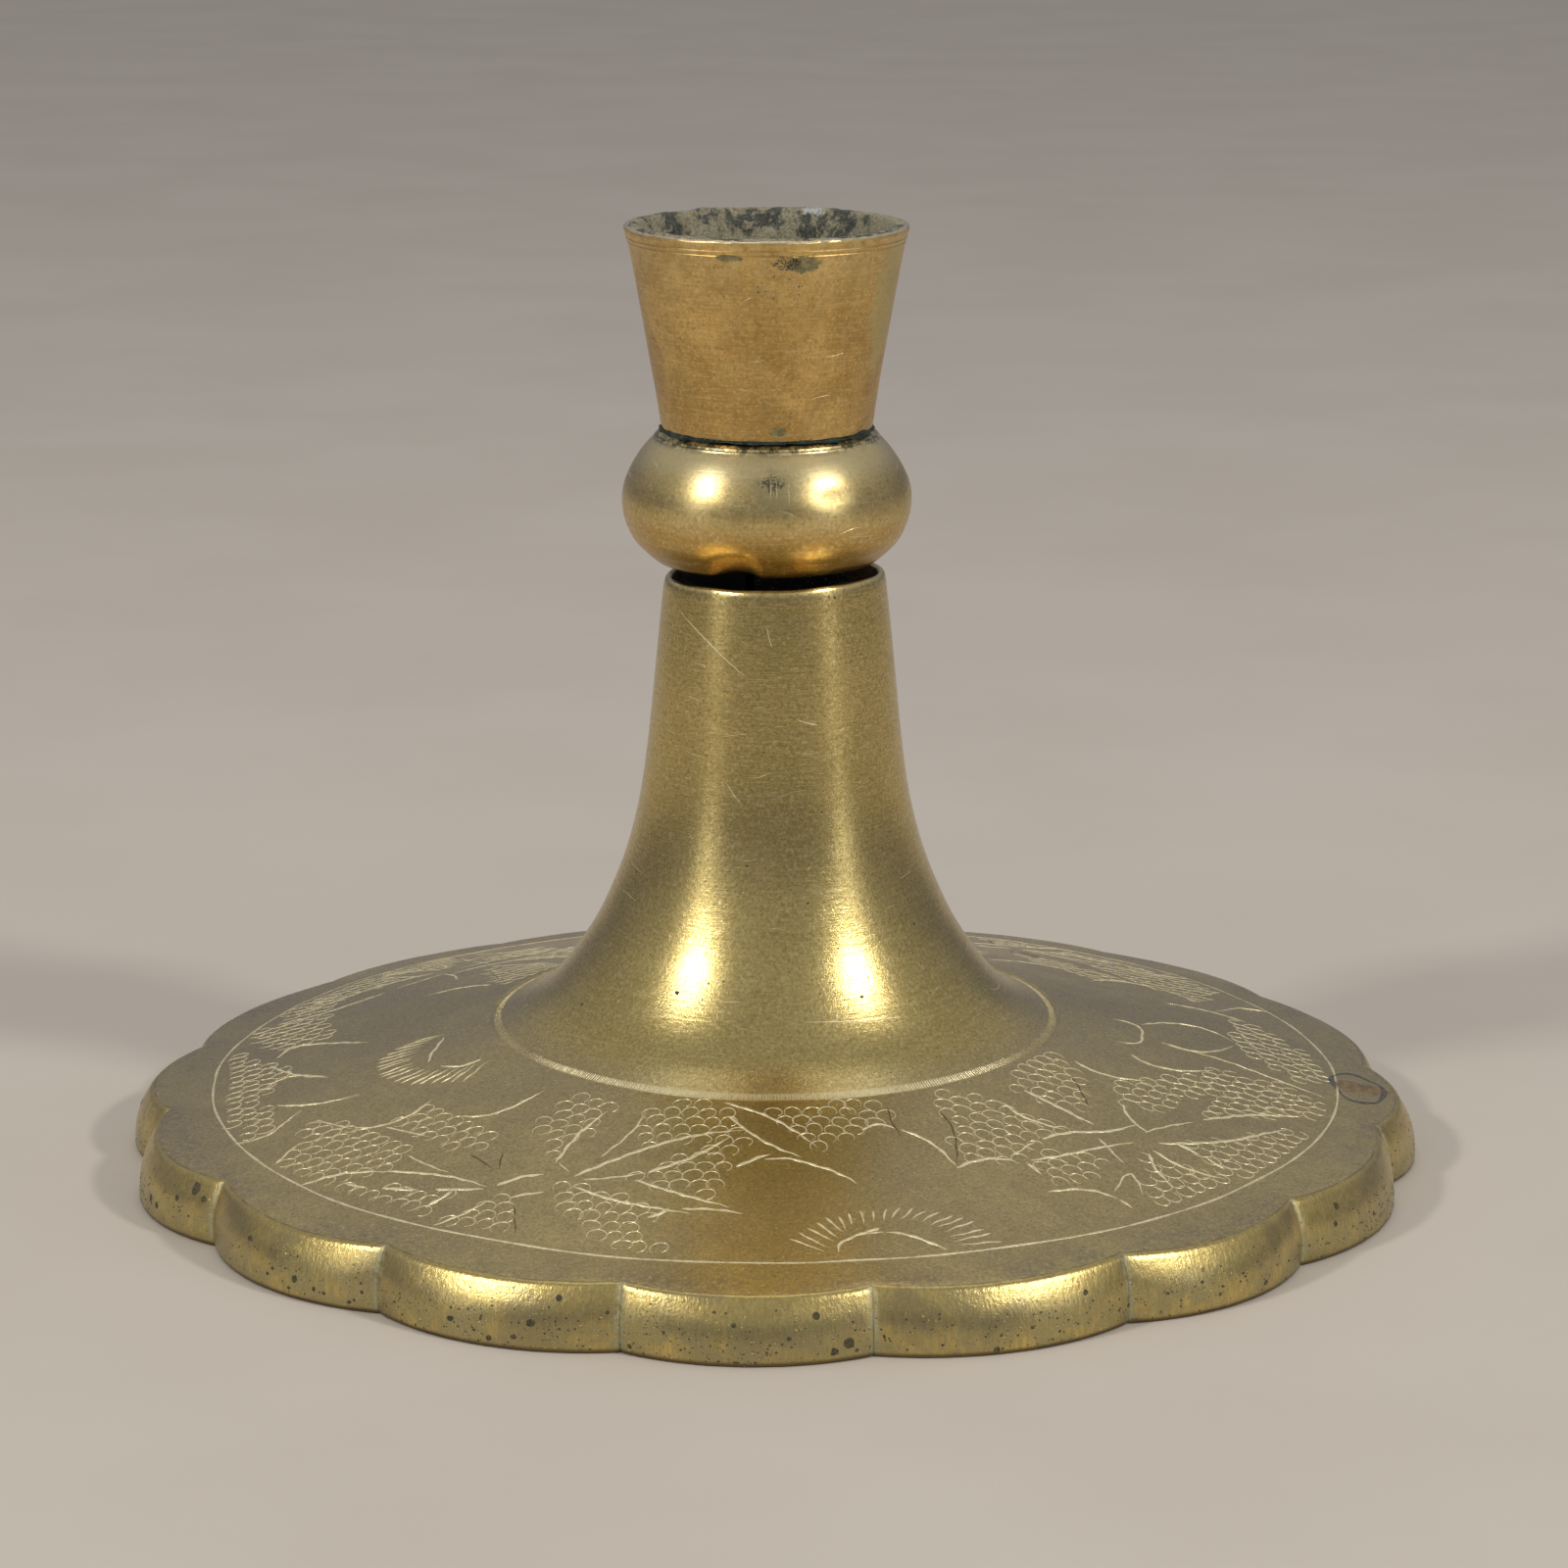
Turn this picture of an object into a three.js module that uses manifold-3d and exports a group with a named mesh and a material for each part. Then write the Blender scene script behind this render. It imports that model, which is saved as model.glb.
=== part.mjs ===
// Brass candlestick: a scalloped foot drawn up into a flared stem, a hollow knop whose split
// spigot drops into the stem's mouth, and a tapered candle cup seated on the knop.
// Units are millimetres, +Z is up, and the origin is on the foot's axis at the surface it stands on.

import * as THREE from 'three';
import { mergeVertices } from 'three/addons/utils/BufferGeometryUtils.js';
import Module from 'manifold-3d';

const wasm = await Module();
wasm.setup();

// ---- Driving dimensions ----

// Scalloped foot
const LOBE_COUNT = 16;
const LOBE_PHASE_DEG = 7.9;        // direction of one cusp from +X
const FOOT_RADIUS = 64.9;          // to the crests of the lobes, at the bottom edge
const CUSP_DEPTH = 2.4;            // how far a cusp lies inside the circle of the crests
const SHOULDER_RADIUS = 62.0;      // top edge of the foot's side wall, at a crest
const SHOULDER_HEIGHT = 6.0;
const SCALLOP_START_RADIUS = 57.0; // the outline turns from round to scalloped beyond this
const FOOT_WALL = 2.9;
const TREAD_CHAMFER = 0.4;         // worn corner between the side wall and the tread

// Foot top and stem, outside
const RING_RADIUS = 28.7;          // where the foot's top ends and the stem's flare begins
const RING_HEIGHT = 13.7;
const MOUTH_HEIGHT = 59.4;         // top of the stem
const STEM_TOP_RADIUS = 11.0;
const LIP_ROUND = 0.6;             // rounding of the stem's top edge

// Stem mouth, which takes the knop's spigot
const MOUTH_BORE_RADIUS = 9.2;
const MOUTH_DEPTH = 12.0;          // down to the ledge that the spigot stands on
const LEDGE_BORE_RADIUS = 6.4;
const LEDGE_THICKNESS = 1.8;

// Upper section: knop and cup, which sit a little to one side in the worn mouth
const UPPER_OFFSET_X = -0.8;
const JOINT_GAP = 0.3;             // clearance kept between neighbouring pieces
const KNOP_RADIUS = 14.3;
const KNOP_WIDEST_HEIGHT = 66.9;
const KNOP_FOOT_HEIGHT = 60.7;
const KNOP_FOOT_RADIUS = 10.9;
const KNOP_NECK_HEIGHT = 73.9;
const KNOP_NECK_RADIUS = 10.2;
const KNOP_WALL = 2.0;
const SPIGOT_RADIUS = 8.3;
const SPIGOT_WALL = 1.5;
const SPIGOT_SLIT_WIDTH = 0.9;
const NOTCH_WIDTH = 4.6;           // widening of the slit where it breaks through the knop's edge
const NOTCH_HEIGHT = 1.1;
const SLIT_DIRECTION_DEG = -102;   // the side of the spigot that is split

const CUP_TOP_HEIGHT = 94.1;
const CUP_RIM_RADIUS = 14.0;
const CUP_FOOT_RADIUS = 10.4;
const CUP_WALL_AT_RIM = 1.5;
const SOCKET_FLOOR_HEIGHT = 77.0;
const SOCKET_FLOOR_RADIUS = 8.6;
const TENON_RADIUS = 5.0;
const TENON_LENGTH = 3.6;

// Mesh fineness
const FOOT_SEGMENTS = LOBE_COUNT * 6;
const ROUND_SEGMENTS = 48;

// ---- Geometry helpers ----

const radians = THREE.MathUtils.degToRad;
const point = (radius, height) => new THREE.Vector2(radius, height);

// Solid of revolution about +Z from a closed outline of (radius, height) points, which may
// start and end on the axis. A ring's outline is closed by repeating its first point.
function turned(outline, segments) {
  const onAxis = outline[0].x === 0;
  const profile = onAxis ? outline : [...outline, outline[0].clone()];
  return new THREE.LatheGeometry(profile, segments).rotateX(Math.PI / 2);
}

function curvePoints(points, divisions) {
  return new THREE.SplineCurve(points).getPoints(divisions);
}

function toSolid(geometry) {
  const bare = geometry.clone();
  bare.deleteAttribute('normal');
  bare.deleteAttribute('uv');
  const merged = mergeVertices(bare, 1e-4);
  return new wasm.Manifold(new wasm.Mesh({
    numProp: 3,
    vertProperties: new Float32Array(merged.attributes.position.array),
    triVerts: new Uint32Array(merged.index.array),
  }));
}

function toGeometry(solid) {
  const mesh = solid.getMesh();
  const geometry = new THREE.BufferGeometry();
  geometry.setAttribute('position', new THREE.BufferAttribute(mesh.vertProperties, 3));
  geometry.setIndex(new THREE.BufferAttribute(mesh.triVerts, 1));
  geometry.computeVertexNormals();
  return geometry;
}

// ---- Foot and stem ----

// How far the scalloped outline lies inside the circle of the crests, at an angle from a cusp.
// Each lobe is a circular arc through its crest and its two cusps.
function scallopInset(angle) {
  const pitch = (2 * Math.PI) / LOBE_COUNT;
  const half = pitch / 2;
  const fromCrest = Math.abs((((angle % pitch) + pitch) % pitch) - half);
  const cuspRadius = FOOT_RADIUS - CUSP_DEPTH;
  const halfChord = cuspRadius * Math.sin(half);
  const rise = FOOT_RADIUS - cuspRadius * Math.cos(half);
  const lobeRadius = (halfChord ** 2 + rise ** 2) / (2 * rise);
  const centre = FOOT_RADIUS - lobeRadius;
  const reach = Math.sqrt(lobeRadius ** 2 - (centre * Math.sin(fromCrest)) ** 2);
  return FOOT_RADIUS - (centre * Math.cos(fromCrest) + reach);
}

// Draws in everything beyond the round part of the foot, so that its outline is scalloped.
function scallop(geometry) {
  const position = geometry.attributes.position;
  const span = SHOULDER_RADIUS - FOOT_WALL - SCALLOP_START_RADIUS;
  for (let i = 0; i < position.count; i++) {
    const x = position.getX(i);
    const y = position.getY(i);
    const radius = Math.hypot(x, y);
    const share = THREE.MathUtils.clamp((radius - SCALLOP_START_RADIUS) / span, 0, 1);
    if (share === 0) continue;
    const drawnIn = 1 - (share * scallopInset(Math.atan2(y, x))) / radius;
    position.setXY(i, x * drawnIn, y * drawnIn);
  }
  return geometry;
}

function footAndStem() {
  const sideWall = [
    point(FOOT_RADIUS - TREAD_CHAMFER, 0),
    point(FOOT_RADIUS, TREAD_CHAMFER),
    point(SHOULDER_RADIUS + 1.2, SHOULDER_HEIGHT - 1.4),
    point(SHOULDER_RADIUS + 0.6, SHOULDER_HEIGHT - 0.4),
    point(SHOULDER_RADIUS - 0.3, SHOULDER_HEIGHT),
  ];
  const footTop = [
    point(SCALLOP_START_RADIUS, 7.2),
    point(43.0, 10.4),
  ];
  const flare = curvePoints([
    point(RING_RADIUS, RING_HEIGHT),
    point(24.6, 15.4),
    point(21.1, 19.3),
    point(17.9, 24.0),
    point(15.4, 29.9),
    point(13.5, 37.0),
    point(12.3, 47.0),
    point(STEM_TOP_RADIUS, MOUTH_HEIGHT - LIP_ROUND),
  ], 11);
  const mouth = [
    point(STEM_TOP_RADIUS - LIP_ROUND, MOUTH_HEIGHT),
    point(MOUTH_BORE_RADIUS, MOUTH_HEIGHT),
    point(MOUTH_BORE_RADIUS, MOUTH_HEIGHT - MOUTH_DEPTH),
    point(LEDGE_BORE_RADIUS, MOUTH_HEIGHT - MOUTH_DEPTH),
    point(LEDGE_BORE_RADIUS, MOUTH_HEIGHT - MOUTH_DEPTH - LEDGE_THICKNESS),
  ];
  const stemHollow = curvePoints([
    point(9.6, 42.0),
    point(11.0, 34.0),
    point(14.2, 25.0),
    point(19.4, 16.6),
    point(27.6, 11.2),
  ], 6);
  const underside = [
    point(43.0, 7.6),
    point(SCALLOP_START_RADIUS, 4.3),
    point(SHOULDER_RADIUS - FOOT_WALL, 3.4),
    point(FOOT_RADIUS - FOOT_WALL, 0),
  ];
  const outline = [...sideWall, ...footTop, ...flare, ...mouth, ...stemHollow, ...underside];
  return scallop(turned(outline, FOOT_SEGMENTS));
}

// ---- Knop with its split spigot ----

function knop() {
  const spigotEnd = MOUTH_HEIGHT - MOUTH_DEPTH + JOINT_GAP;
  const boreRadius = SPIGOT_RADIUS - SPIGOT_WALL;
  const belly = curvePoints([
    point(KNOP_FOOT_RADIUS, KNOP_FOOT_HEIGHT),
    point(12.5, 62.2),
    point(13.8, 64.4),
    point(KNOP_RADIUS, KNOP_WIDEST_HEIGHT),
    point(13.9, 69.1),
    point(12.7, 71.5),
    point(KNOP_NECK_RADIUS + 0.7, KNOP_NECK_HEIGHT - 0.4),
  ], 9);
  const hollow = curvePoints([
    point(9.3, KNOP_NECK_HEIGHT - KNOP_WALL),
    point(KNOP_RADIUS - KNOP_WALL, KNOP_WIDEST_HEIGHT),
    point(10.0, 63.0),
    point(boreRadius, KNOP_FOOT_HEIGHT + 0.6),
  ], 6);
  const outline = [
    point(SPIGOT_RADIUS, KNOP_FOOT_HEIGHT),
    ...belly,
    point(KNOP_NECK_RADIUS, KNOP_NECK_HEIGHT),
    point(TENON_RADIUS + JOINT_GAP, KNOP_NECK_HEIGHT),
    point(TENON_RADIUS + JOINT_GAP, KNOP_NECK_HEIGHT - KNOP_WALL),
    ...hollow,
    point(boreRadius, spigotEnd),
    point(SPIGOT_RADIUS, spigotEnd),
  ];
  const slitHeight = KNOP_FOOT_HEIGHT + NOTCH_HEIGHT - spigotEnd;
  const slit = new THREE.BoxGeometry(2 * SPIGOT_RADIUS, SPIGOT_SLIT_WIDTH, slitHeight + 2);
  slit.translate(SPIGOT_RADIUS, 0, spigotEnd + slitHeight / 2 - 1);

  const notchProfile = new THREE.Shape([
    point(-NOTCH_WIDTH / 2, -1),
    point(NOTCH_WIDTH / 2, -1),
    point(NOTCH_WIDTH / 2, 0),
    point(SPIGOT_SLIT_WIDTH, NOTCH_HEIGHT),
    point(-SPIGOT_SLIT_WIDTH, NOTCH_HEIGHT),
    point(-NOTCH_WIDTH / 2, 0),
  ]);
  const notch = new THREE.ExtrudeGeometry(notchProfile, { depth: 6, bevelEnabled: false });
  notch.rotateX(Math.PI / 2).rotateZ(Math.PI / 2);
  notch.translate(SPIGOT_RADIUS + 0.05, 0, KNOP_FOOT_HEIGHT);

  const turn = radians(SLIT_DIRECTION_DEG);
  const cut = toSolid(slit.rotateZ(turn)).add(toSolid(notch.rotateZ(turn)));
  return toGeometry(toSolid(turned(outline, ROUND_SEGMENTS)).subtract(cut));
}

// ---- Candle cup ----

function candleCup() {
  const seat = KNOP_NECK_HEIGHT + JOINT_GAP;
  const outline = [
    point(0, seat - TENON_LENGTH),
    point(TENON_RADIUS, seat - TENON_LENGTH),
    point(TENON_RADIUS, seat),
    point(CUP_FOOT_RADIUS, seat),
    point(12.1, 84.0),
    point(13.7, 92.6),
    point(CUP_RIM_RADIUS, CUP_TOP_HEIGHT - 0.3),
    point(CUP_RIM_RADIUS - 0.4, CUP_TOP_HEIGHT),
    point(CUP_RIM_RADIUS - CUP_WALL_AT_RIM, CUP_TOP_HEIGHT),
    point(SOCKET_FLOOR_RADIUS, SOCKET_FLOOR_HEIGHT),
    point(0, SOCKET_FLOOR_HEIGHT),
  ];
  return turned(outline, ROUND_SEGMENTS);
}

// ---- Assembly ----

function piece(name, geometry, color, roughness) {
  const material = new THREE.MeshStandardMaterial({ color, roughness, metalness: 1 });
  const mesh = new THREE.Mesh(geometry, material);
  mesh.name = name;
  return mesh;
}

const foot = piece('foot_and_stem', footAndStem(), 0x8a7a45, 0.45);
foot.rotation.z = radians(LOBE_PHASE_DEG);

const upperSection = new THREE.Group();
upperSection.position.x = UPPER_OFFSET_X;
upperSection.add(piece('knop', knop(), 0xa08a48, 0.3));
upperSection.add(piece('candle_cup', candleCup(), 0xa07a3c, 0.4));

const candlestick = new THREE.Group();
candlestick.add(foot, upperSection);

export default candlestick;
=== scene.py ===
"""Brass candlestick: a scalloped engraved foot and flared stem, a hollow knop whose split spigot
stands in the stem's mouth, and a tapered candle cup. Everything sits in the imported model's frame.
Helper functions work in millimetres; meshes are written in metres."""

import math
import random
from types import SimpleNamespace

import bpy
import numpy as np
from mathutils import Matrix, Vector
from mathutils.bvhtree import BVHTree


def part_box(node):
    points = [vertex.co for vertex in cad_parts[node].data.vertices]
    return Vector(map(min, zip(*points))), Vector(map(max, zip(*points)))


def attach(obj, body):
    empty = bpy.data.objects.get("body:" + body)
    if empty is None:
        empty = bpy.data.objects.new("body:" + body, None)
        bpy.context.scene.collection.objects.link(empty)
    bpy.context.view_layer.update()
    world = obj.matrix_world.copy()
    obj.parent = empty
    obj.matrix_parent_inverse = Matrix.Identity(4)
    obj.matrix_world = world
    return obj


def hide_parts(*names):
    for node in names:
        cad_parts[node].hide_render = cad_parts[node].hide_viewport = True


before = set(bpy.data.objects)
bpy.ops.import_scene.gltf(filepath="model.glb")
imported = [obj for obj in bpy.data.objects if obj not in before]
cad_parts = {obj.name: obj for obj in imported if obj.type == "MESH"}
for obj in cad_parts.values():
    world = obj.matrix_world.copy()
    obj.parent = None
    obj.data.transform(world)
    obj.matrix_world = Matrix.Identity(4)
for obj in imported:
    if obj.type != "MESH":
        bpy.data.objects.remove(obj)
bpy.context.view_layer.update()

MM = 0.001

# ---------------------------------------------------------------- places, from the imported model

foot_low, foot_high = [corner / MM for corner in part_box("foot_and_stem")]
knop_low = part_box("knop")[0] / MM
cup_low, cup_high = [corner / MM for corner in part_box("candle_cup")]

FOOT_AXIS = (round((foot_low.x + foot_high.x) / 2, 3), round((foot_low.y + foot_high.y) / 2, 3))
UPPER_AXIS = (round((cup_low.x + cup_high.x) / 2, 3), round((cup_low.y + cup_high.y) / 2, 3))
MOUTH_Z = foot_high.z
SPIGOT_END_Z = knop_low.z
TENON_END_Z = cup_low.z
CUP_TOP_Z = cup_high.z

# ---------------------------------------------------------------- sizes, in millimetres

LOBES = 16
LOBE_PITCH = 360 / LOBES
LOBE_PHASE = 7.9                  # direction of one cusp from +X, in degrees
FOOT_RADIUS = 64.9
CUSP_DEPTH = 2.4                  # at the bottom edge
CUSP_DEPTH_TOP = 1.7              # at the top edge of the side wall
CUSP_NOTCH = 0.10
SHOULDER_RADIUS = 62.0
SHOULDER_Z = 6.1
RING_RADIUS = 57.0                # engraved line; the outline turns scalloped beyond it
RING_Z = 7.2
FLARE_RADIUS = 28.7               # milled line at the bottom of the stem's flare
FLARE_Z = 13.7
FOOT_WALL = 2.9
MOUTH_BORE = 9.2
MOUTH_DEPTH = 12.0
LEDGE_BORE = 6.4
LEDGE = 1.8

KNOP_EDGE_Z = 60.7
KNOP_TOP_Z = 73.9
SPIGOT_RADIUS = 8.3
SPIGOT_BORE = 6.8
SLIT_WIDTH = 0.9
SLIT_DIRECTION = -101.5
NOTCH_LEFT = (-21.0, -4.5)        # where the notch starts to rise and levels out, from the slit's direction
NOTCH_RIGHT = (10.5, 0.5)
NOTCH_RISE = 0.62
FRONT_RISE = 0.22                 # the knop's edge stands this much higher at the front
# Dents in the knop: direction and half its reach in degrees, height and half its reach, depth.
DENTS = ((318, 16, 68.0, 1.9, 0.22), (298, 9, 69.0, 1.05, 0.19))

CUP_SEAT_Z = 74.2
SOCKET_FLOOR_Z = 77.0
SOCKET_FLOOR_RADIUS = 8.6
CUP_RIM_BORE = 12.5
TENON_RADIUS = 5.0
BEAD_RADIUS = 10.35               # the line of verdigris between cup and knop
BEAD_Z = CUP_SEAT_Z - 0.12

# How the looks are spread, shared by several pieces.
CREASE = 38.0                     # degrees; sharper edges are not shaded smooth
SPOT_DEPTH = 5.0                  # a spot shows only on surfaces this far out from the axis
SPARKS = (0.62, 0.72, 0.6)        # bright grains: where their noise starts and ends, and their strength
STRAY_PITS = (0.985, 0.995)       # the share of cells left without a stray pit


# ---------------------------------------------------------------- curves and noise

def smooth_curve(points, count):
    """Evenly spread points along a natural cubic spline through the given ones."""
    knots = np.array(points, float)
    station = np.concatenate([[0], np.cumsum(np.linalg.norm(np.diff(knots, axis=0), axis=1))])
    gap = np.diff(station)
    size = len(knots)
    matrix = np.eye(size)
    right = np.zeros((size, 2))
    slope = np.diff(knots, axis=0) / gap[:, None]
    for i in range(1, size - 1):
        matrix[i, i - 1:i + 2] = gap[i - 1], 2 * (gap[i - 1] + gap[i]), gap[i]
        right[i] = 6 * (slope[i] - slope[i - 1])
    bend = np.linalg.solve(matrix, right)
    wanted = np.linspace(0, station[-1], count)
    index = np.clip(np.searchsorted(station, wanted, side="right") - 1, 0, size - 2)
    ahead = ((wanted - station[index]) / gap[index])[:, None]
    back = 1 - ahead
    span = gap[index][:, None] ** 2 / 6
    straight = back * knots[index] + ahead * knots[index + 1]
    return straight + span * ((back ** 3 - back) * bend[index] + (ahead ** 3 - ahead) * bend[index + 1])


def straight(points, spacing):
    """Points along straight runs between the given ones, no further apart than spacing."""
    result = [np.array(points[0], float)]
    for start, end in zip(points, points[1:]):
        start, end = np.array(start, float), np.array(end, float)
        steps = max(1, math.ceil(np.linalg.norm(end - start) / spacing))
        result += [start + (end - start) * k / steps for k in range(1, steps + 1)]
    return np.array(result)


def waves(seed, wavelength, count=7):
    """A smooth uneven function of (x, y), between about -1 and 1, from a sum of sine waves."""
    draw = random.Random(seed)
    parts = []
    for _ in range(count):
        heading = draw.uniform(0, 2 * math.pi)
        number = 2 * math.pi / (wavelength * draw.uniform(0.7, 1.6))
        parts.append((number * math.cos(heading), number * math.sin(heading), draw.uniform(0, 6.3)))

    def value(x, y):
        return sum(np.sin(a * x + b * y + c) for a, b, c in parts) / math.sqrt(count) * 0.9
    return value


def fade(value, low, high):
    """0 at low, 1 at high, smooth between; low may be the larger."""
    share = np.clip((value - low) / (high - low), 0, 1)
    return share * share * (3 - 2 * share)


# ---------------------------------------------------------------- shaders

class Shader:
    """Node tree of one material. Methods return output sockets; coordinates are in millimetres."""

    def __init__(self, name, axis=(0, 0)):
        self.material = bpy.data.materials.new(name)
        self.material.use_nodes = True
        self.tree = self.material.node_tree
        self.tree.nodes.clear()
        output = self.tree.nodes.new("ShaderNodeOutputMaterial")
        self.surface = self.tree.nodes.new("ShaderNodeBsdfPrincipled")
        self.tree.links.new(self.surface.outputs[0], output.inputs["Surface"])
        coordinates = self.tree.nodes.new("ShaderNodeTexCoord").outputs["Object"]
        self.place = self.vector("SCALE", coordinates, scale=1 / MM)
        if any(axis):
            self.place = self.vector("SUBTRACT", self.place, (axis[0], axis[1], 0))
        parts = self.tree.nodes.new("ShaderNodeSeparateXYZ")
        self.link(self.place, parts.inputs[0])
        self.x, self.y, self.z = parts.outputs
        self.radius = self.vector("LENGTH", self.combine(self.x, self.y, 0), output="Value")
        self.around = self.vector("NORMALIZE", self.combine(self.x, self.y, 0))

    def link(self, source, socket):
        if isinstance(source, bpy.types.NodeSocket):
            self.tree.links.new(source, socket)
        else:
            socket.default_value = source

    def set(self, name, source):
        self.link(source, self.surface.inputs[name])

    def math(self, operation, first, second=0.0):
        node = self.tree.nodes.new("ShaderNodeMath")
        node.operation = operation
        self.link(first, node.inputs[0])
        self.link(second, node.inputs[1])
        return node.outputs[0]

    def vector(self, operation, first, second=None, scale=None, output="Vector"):
        node = self.tree.nodes.new("ShaderNodeVectorMath")
        node.operation = operation
        self.link(first, node.inputs[0])
        if second is not None:
            self.link(second, node.inputs[1])
        if scale is not None:
            node.inputs["Scale"].default_value = scale
        return node.outputs[output]

    def combine(self, x, y, z):
        node = self.tree.nodes.new("ShaderNodeCombineXYZ")
        for value, socket in zip((x, y, z), node.inputs):
            self.link(value, socket)
        return node.outputs[0]

    def noise(self, scale, detail, roughness, distortion=0.0, vector=None, offset=None):
        node = self.tree.nodes.new("ShaderNodeTexNoise")
        source = self.place if vector is None else vector
        if offset is not None:
            source = self.vector("ADD", source, offset)
        self.link(source, node.inputs["Vector"])
        for socket, number in zip(("Scale", "Detail", "Roughness", "Distortion"),
                                  (scale, detail, roughness, distortion)):
            node.inputs[socket].default_value = number
        return node.outputs[0]

    def cells(self, scale):
        """Distance to the nearest cell's centre, and a random number for that cell."""
        node = self.tree.nodes.new("ShaderNodeTexVoronoi")
        self.link(self.place, node.inputs["Vector"])
        node.inputs["Scale"].default_value = scale
        parts = self.tree.nodes.new("ShaderNodeSeparateXYZ")
        self.link(node.outputs["Color"], parts.inputs[0])
        return node.outputs["Distance"], parts.outputs[0]

    def ramp(self, value, low, high, start=0.0, end=1.0):
        node = self.tree.nodes.new("ShaderNodeMapRange")
        node.interpolation_type = "SMOOTHSTEP"
        self.link(value, node.inputs["Value"])
        for socket, number in zip(("From Min", "From Max", "To Min", "To Max"), (low, high, start, end)):
            node.inputs[socket].default_value = number
        return node.outputs[0]

    def blend(self, share, first, second):
        node = self.tree.nodes.new("ShaderNodeMix")
        node.data_type = "RGBA"
        self.link(share, node.inputs[0])
        for source, socket in ((first, node.inputs[6]), (second, node.inputs[7])):
            self.link(source if isinstance(source, bpy.types.NodeSocket) else (*source, 1), socket)
        return node.outputs[2]

    def chain(self, operation, values):
        result = values[0]
        for value in values[1:]:
            result = self.math(operation, result, value)
        return result

    def times(self, *values):
        return self.chain("MULTIPLY", values)

    def add(self, *values):
        return self.chain("ADD", values)

    def most(self, *values):
        return self.chain("MAXIMUM", values)

    def without(self, mask):
        return self.math("SUBTRACT", 1.0, mask)

    def total(self, start, *parts):
        """A sum of values, each times its weight."""
        return self.add(start, *(self.times(value, weight) for value, weight in parts))

    def between(self, value, low, high, first, second):
        """From the first tone to the second as the value runs from low to high."""
        return self.blend(self.ramp(value, low, high), first, second)

    def layers(self, colour, *rows):
        """Tones over a colour: each comes in as its value runs from low to high, up to its strength."""
        for value, low, high, strength, tone in rows:
            colour = self.blend(self.ramp(value, low, high, 0, strength), colour, tone)
        return colour

    def coats(self, colour, *rows):
        """Tones over a colour: each shows where its mask is 1, up to its strength."""
        for mask, strength, tone in rows:
            colour = self.blend(self.times(mask, strength), colour, tone)
        return colour

    def turned(self, reach, stretch):
        """Coordinates for marks that run round the axis."""
        ring = self.vector("ADD", self.vector("SCALE", self.around, scale=reach), self.combine(0, 0, self.z))
        return self.vector("MULTIPLY", ring, stretch)

    def pits(self, scale, rare, size, edges):
        """1 in the small hollows of some cells, and a random number for each cell."""
        distance, chance = self.cells(scale)
        hollow = self.math("SUBTRACT", distance, self.ramp(chance, rare, 1.0, 0.0, size))
        return self.ramp(hollow, *edges), chance

    def region(self, name):
        """One channel of the mesh's painted regions."""
        node = self.tree.nodes.new("ShaderNodeAttribute")
        node.attribute_name = "region"
        parts = self.tree.nodes.new("ShaderNodeSeparateXYZ")
        self.link(node.outputs["Color"], parts.inputs[0])
        return parts.outputs["XYZ".index(name)]

    def attribute(self, name):
        node = self.tree.nodes.new("ShaderNodeAttribute")
        node.attribute_name = name
        return node.outputs["Fac"]

    def spot(self, direction, height, half_width, half_height, wobble):
        """1 inside an uneven oval at a direction (degrees) and height on the outside of a round piece."""
        turn = math.radians(direction)
        across = self.total(0.0, (self.x, -math.sin(turn)), (self.y, math.cos(turn)))
        depth = self.total(0.0, (self.x, math.cos(turn)), (self.y, math.sin(turn)))
        side = self.math("DIVIDE", across, half_width)
        rise = self.math("DIVIDE", self.math("SUBTRACT", self.z, height), half_height)
        far = self.math("SQRT", self.add(self.times(side, side), self.times(rise, rise)))
        edge = self.add(far, self.times(self.math("SUBTRACT", wobble, 0.5), 1.6))
        return self.times(self.ramp(edge, 1.1, 0.85), self.math("GREATER_THAN", depth, SPOT_DEPTH))

    def finish(self, colour, metallic, roughness, height=None):
        """Sets the surface, with a bump from a height in millimetres, and returns the material."""
        for name, source in (("Base Color", colour), ("Metallic", metallic), ("Roughness", roughness)):
            self.set(name, source)
        if height is not None:
            node = self.tree.nodes.new("ShaderNodeBump")
            node.inputs["Strength"].default_value = 1.0
            node.inputs["Distance"].default_value = MM
            self.link(height, node.inputs["Height"])
            self.set("Normal", node.outputs[0])
        return self.material


def foot_noises(s):
    """The uneven values that the tones of the foot share."""
    return SimpleNamespace(
        cloud=s.noise(0.07, 3, 0.6),
        mottle=s.noise(0.35, 4, 0.65, 0.6, offset=(31, 7, 3)),
        grain=s.noise(5.5, 3, 0.6),
        coarse=s.noise(1.9, 4, 0.7, offset=(5, 11, 19)),
        fleck=s.noise(3.1, 2, 0.5, offset=(14, 2, 33)),
        spark=s.noise(7.5, 2, 0.5, offset=(3, 17, 2)),
        turning=s.noise(4.2, 3, 0.7, vector=s.turned(2.6, (0.45, 0.45, 1))),
        filing=s.noise(3.2, 3, 0.6, vector=s.vector("MULTIPLY", s.place, (1, 1, 0.09))))


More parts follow.
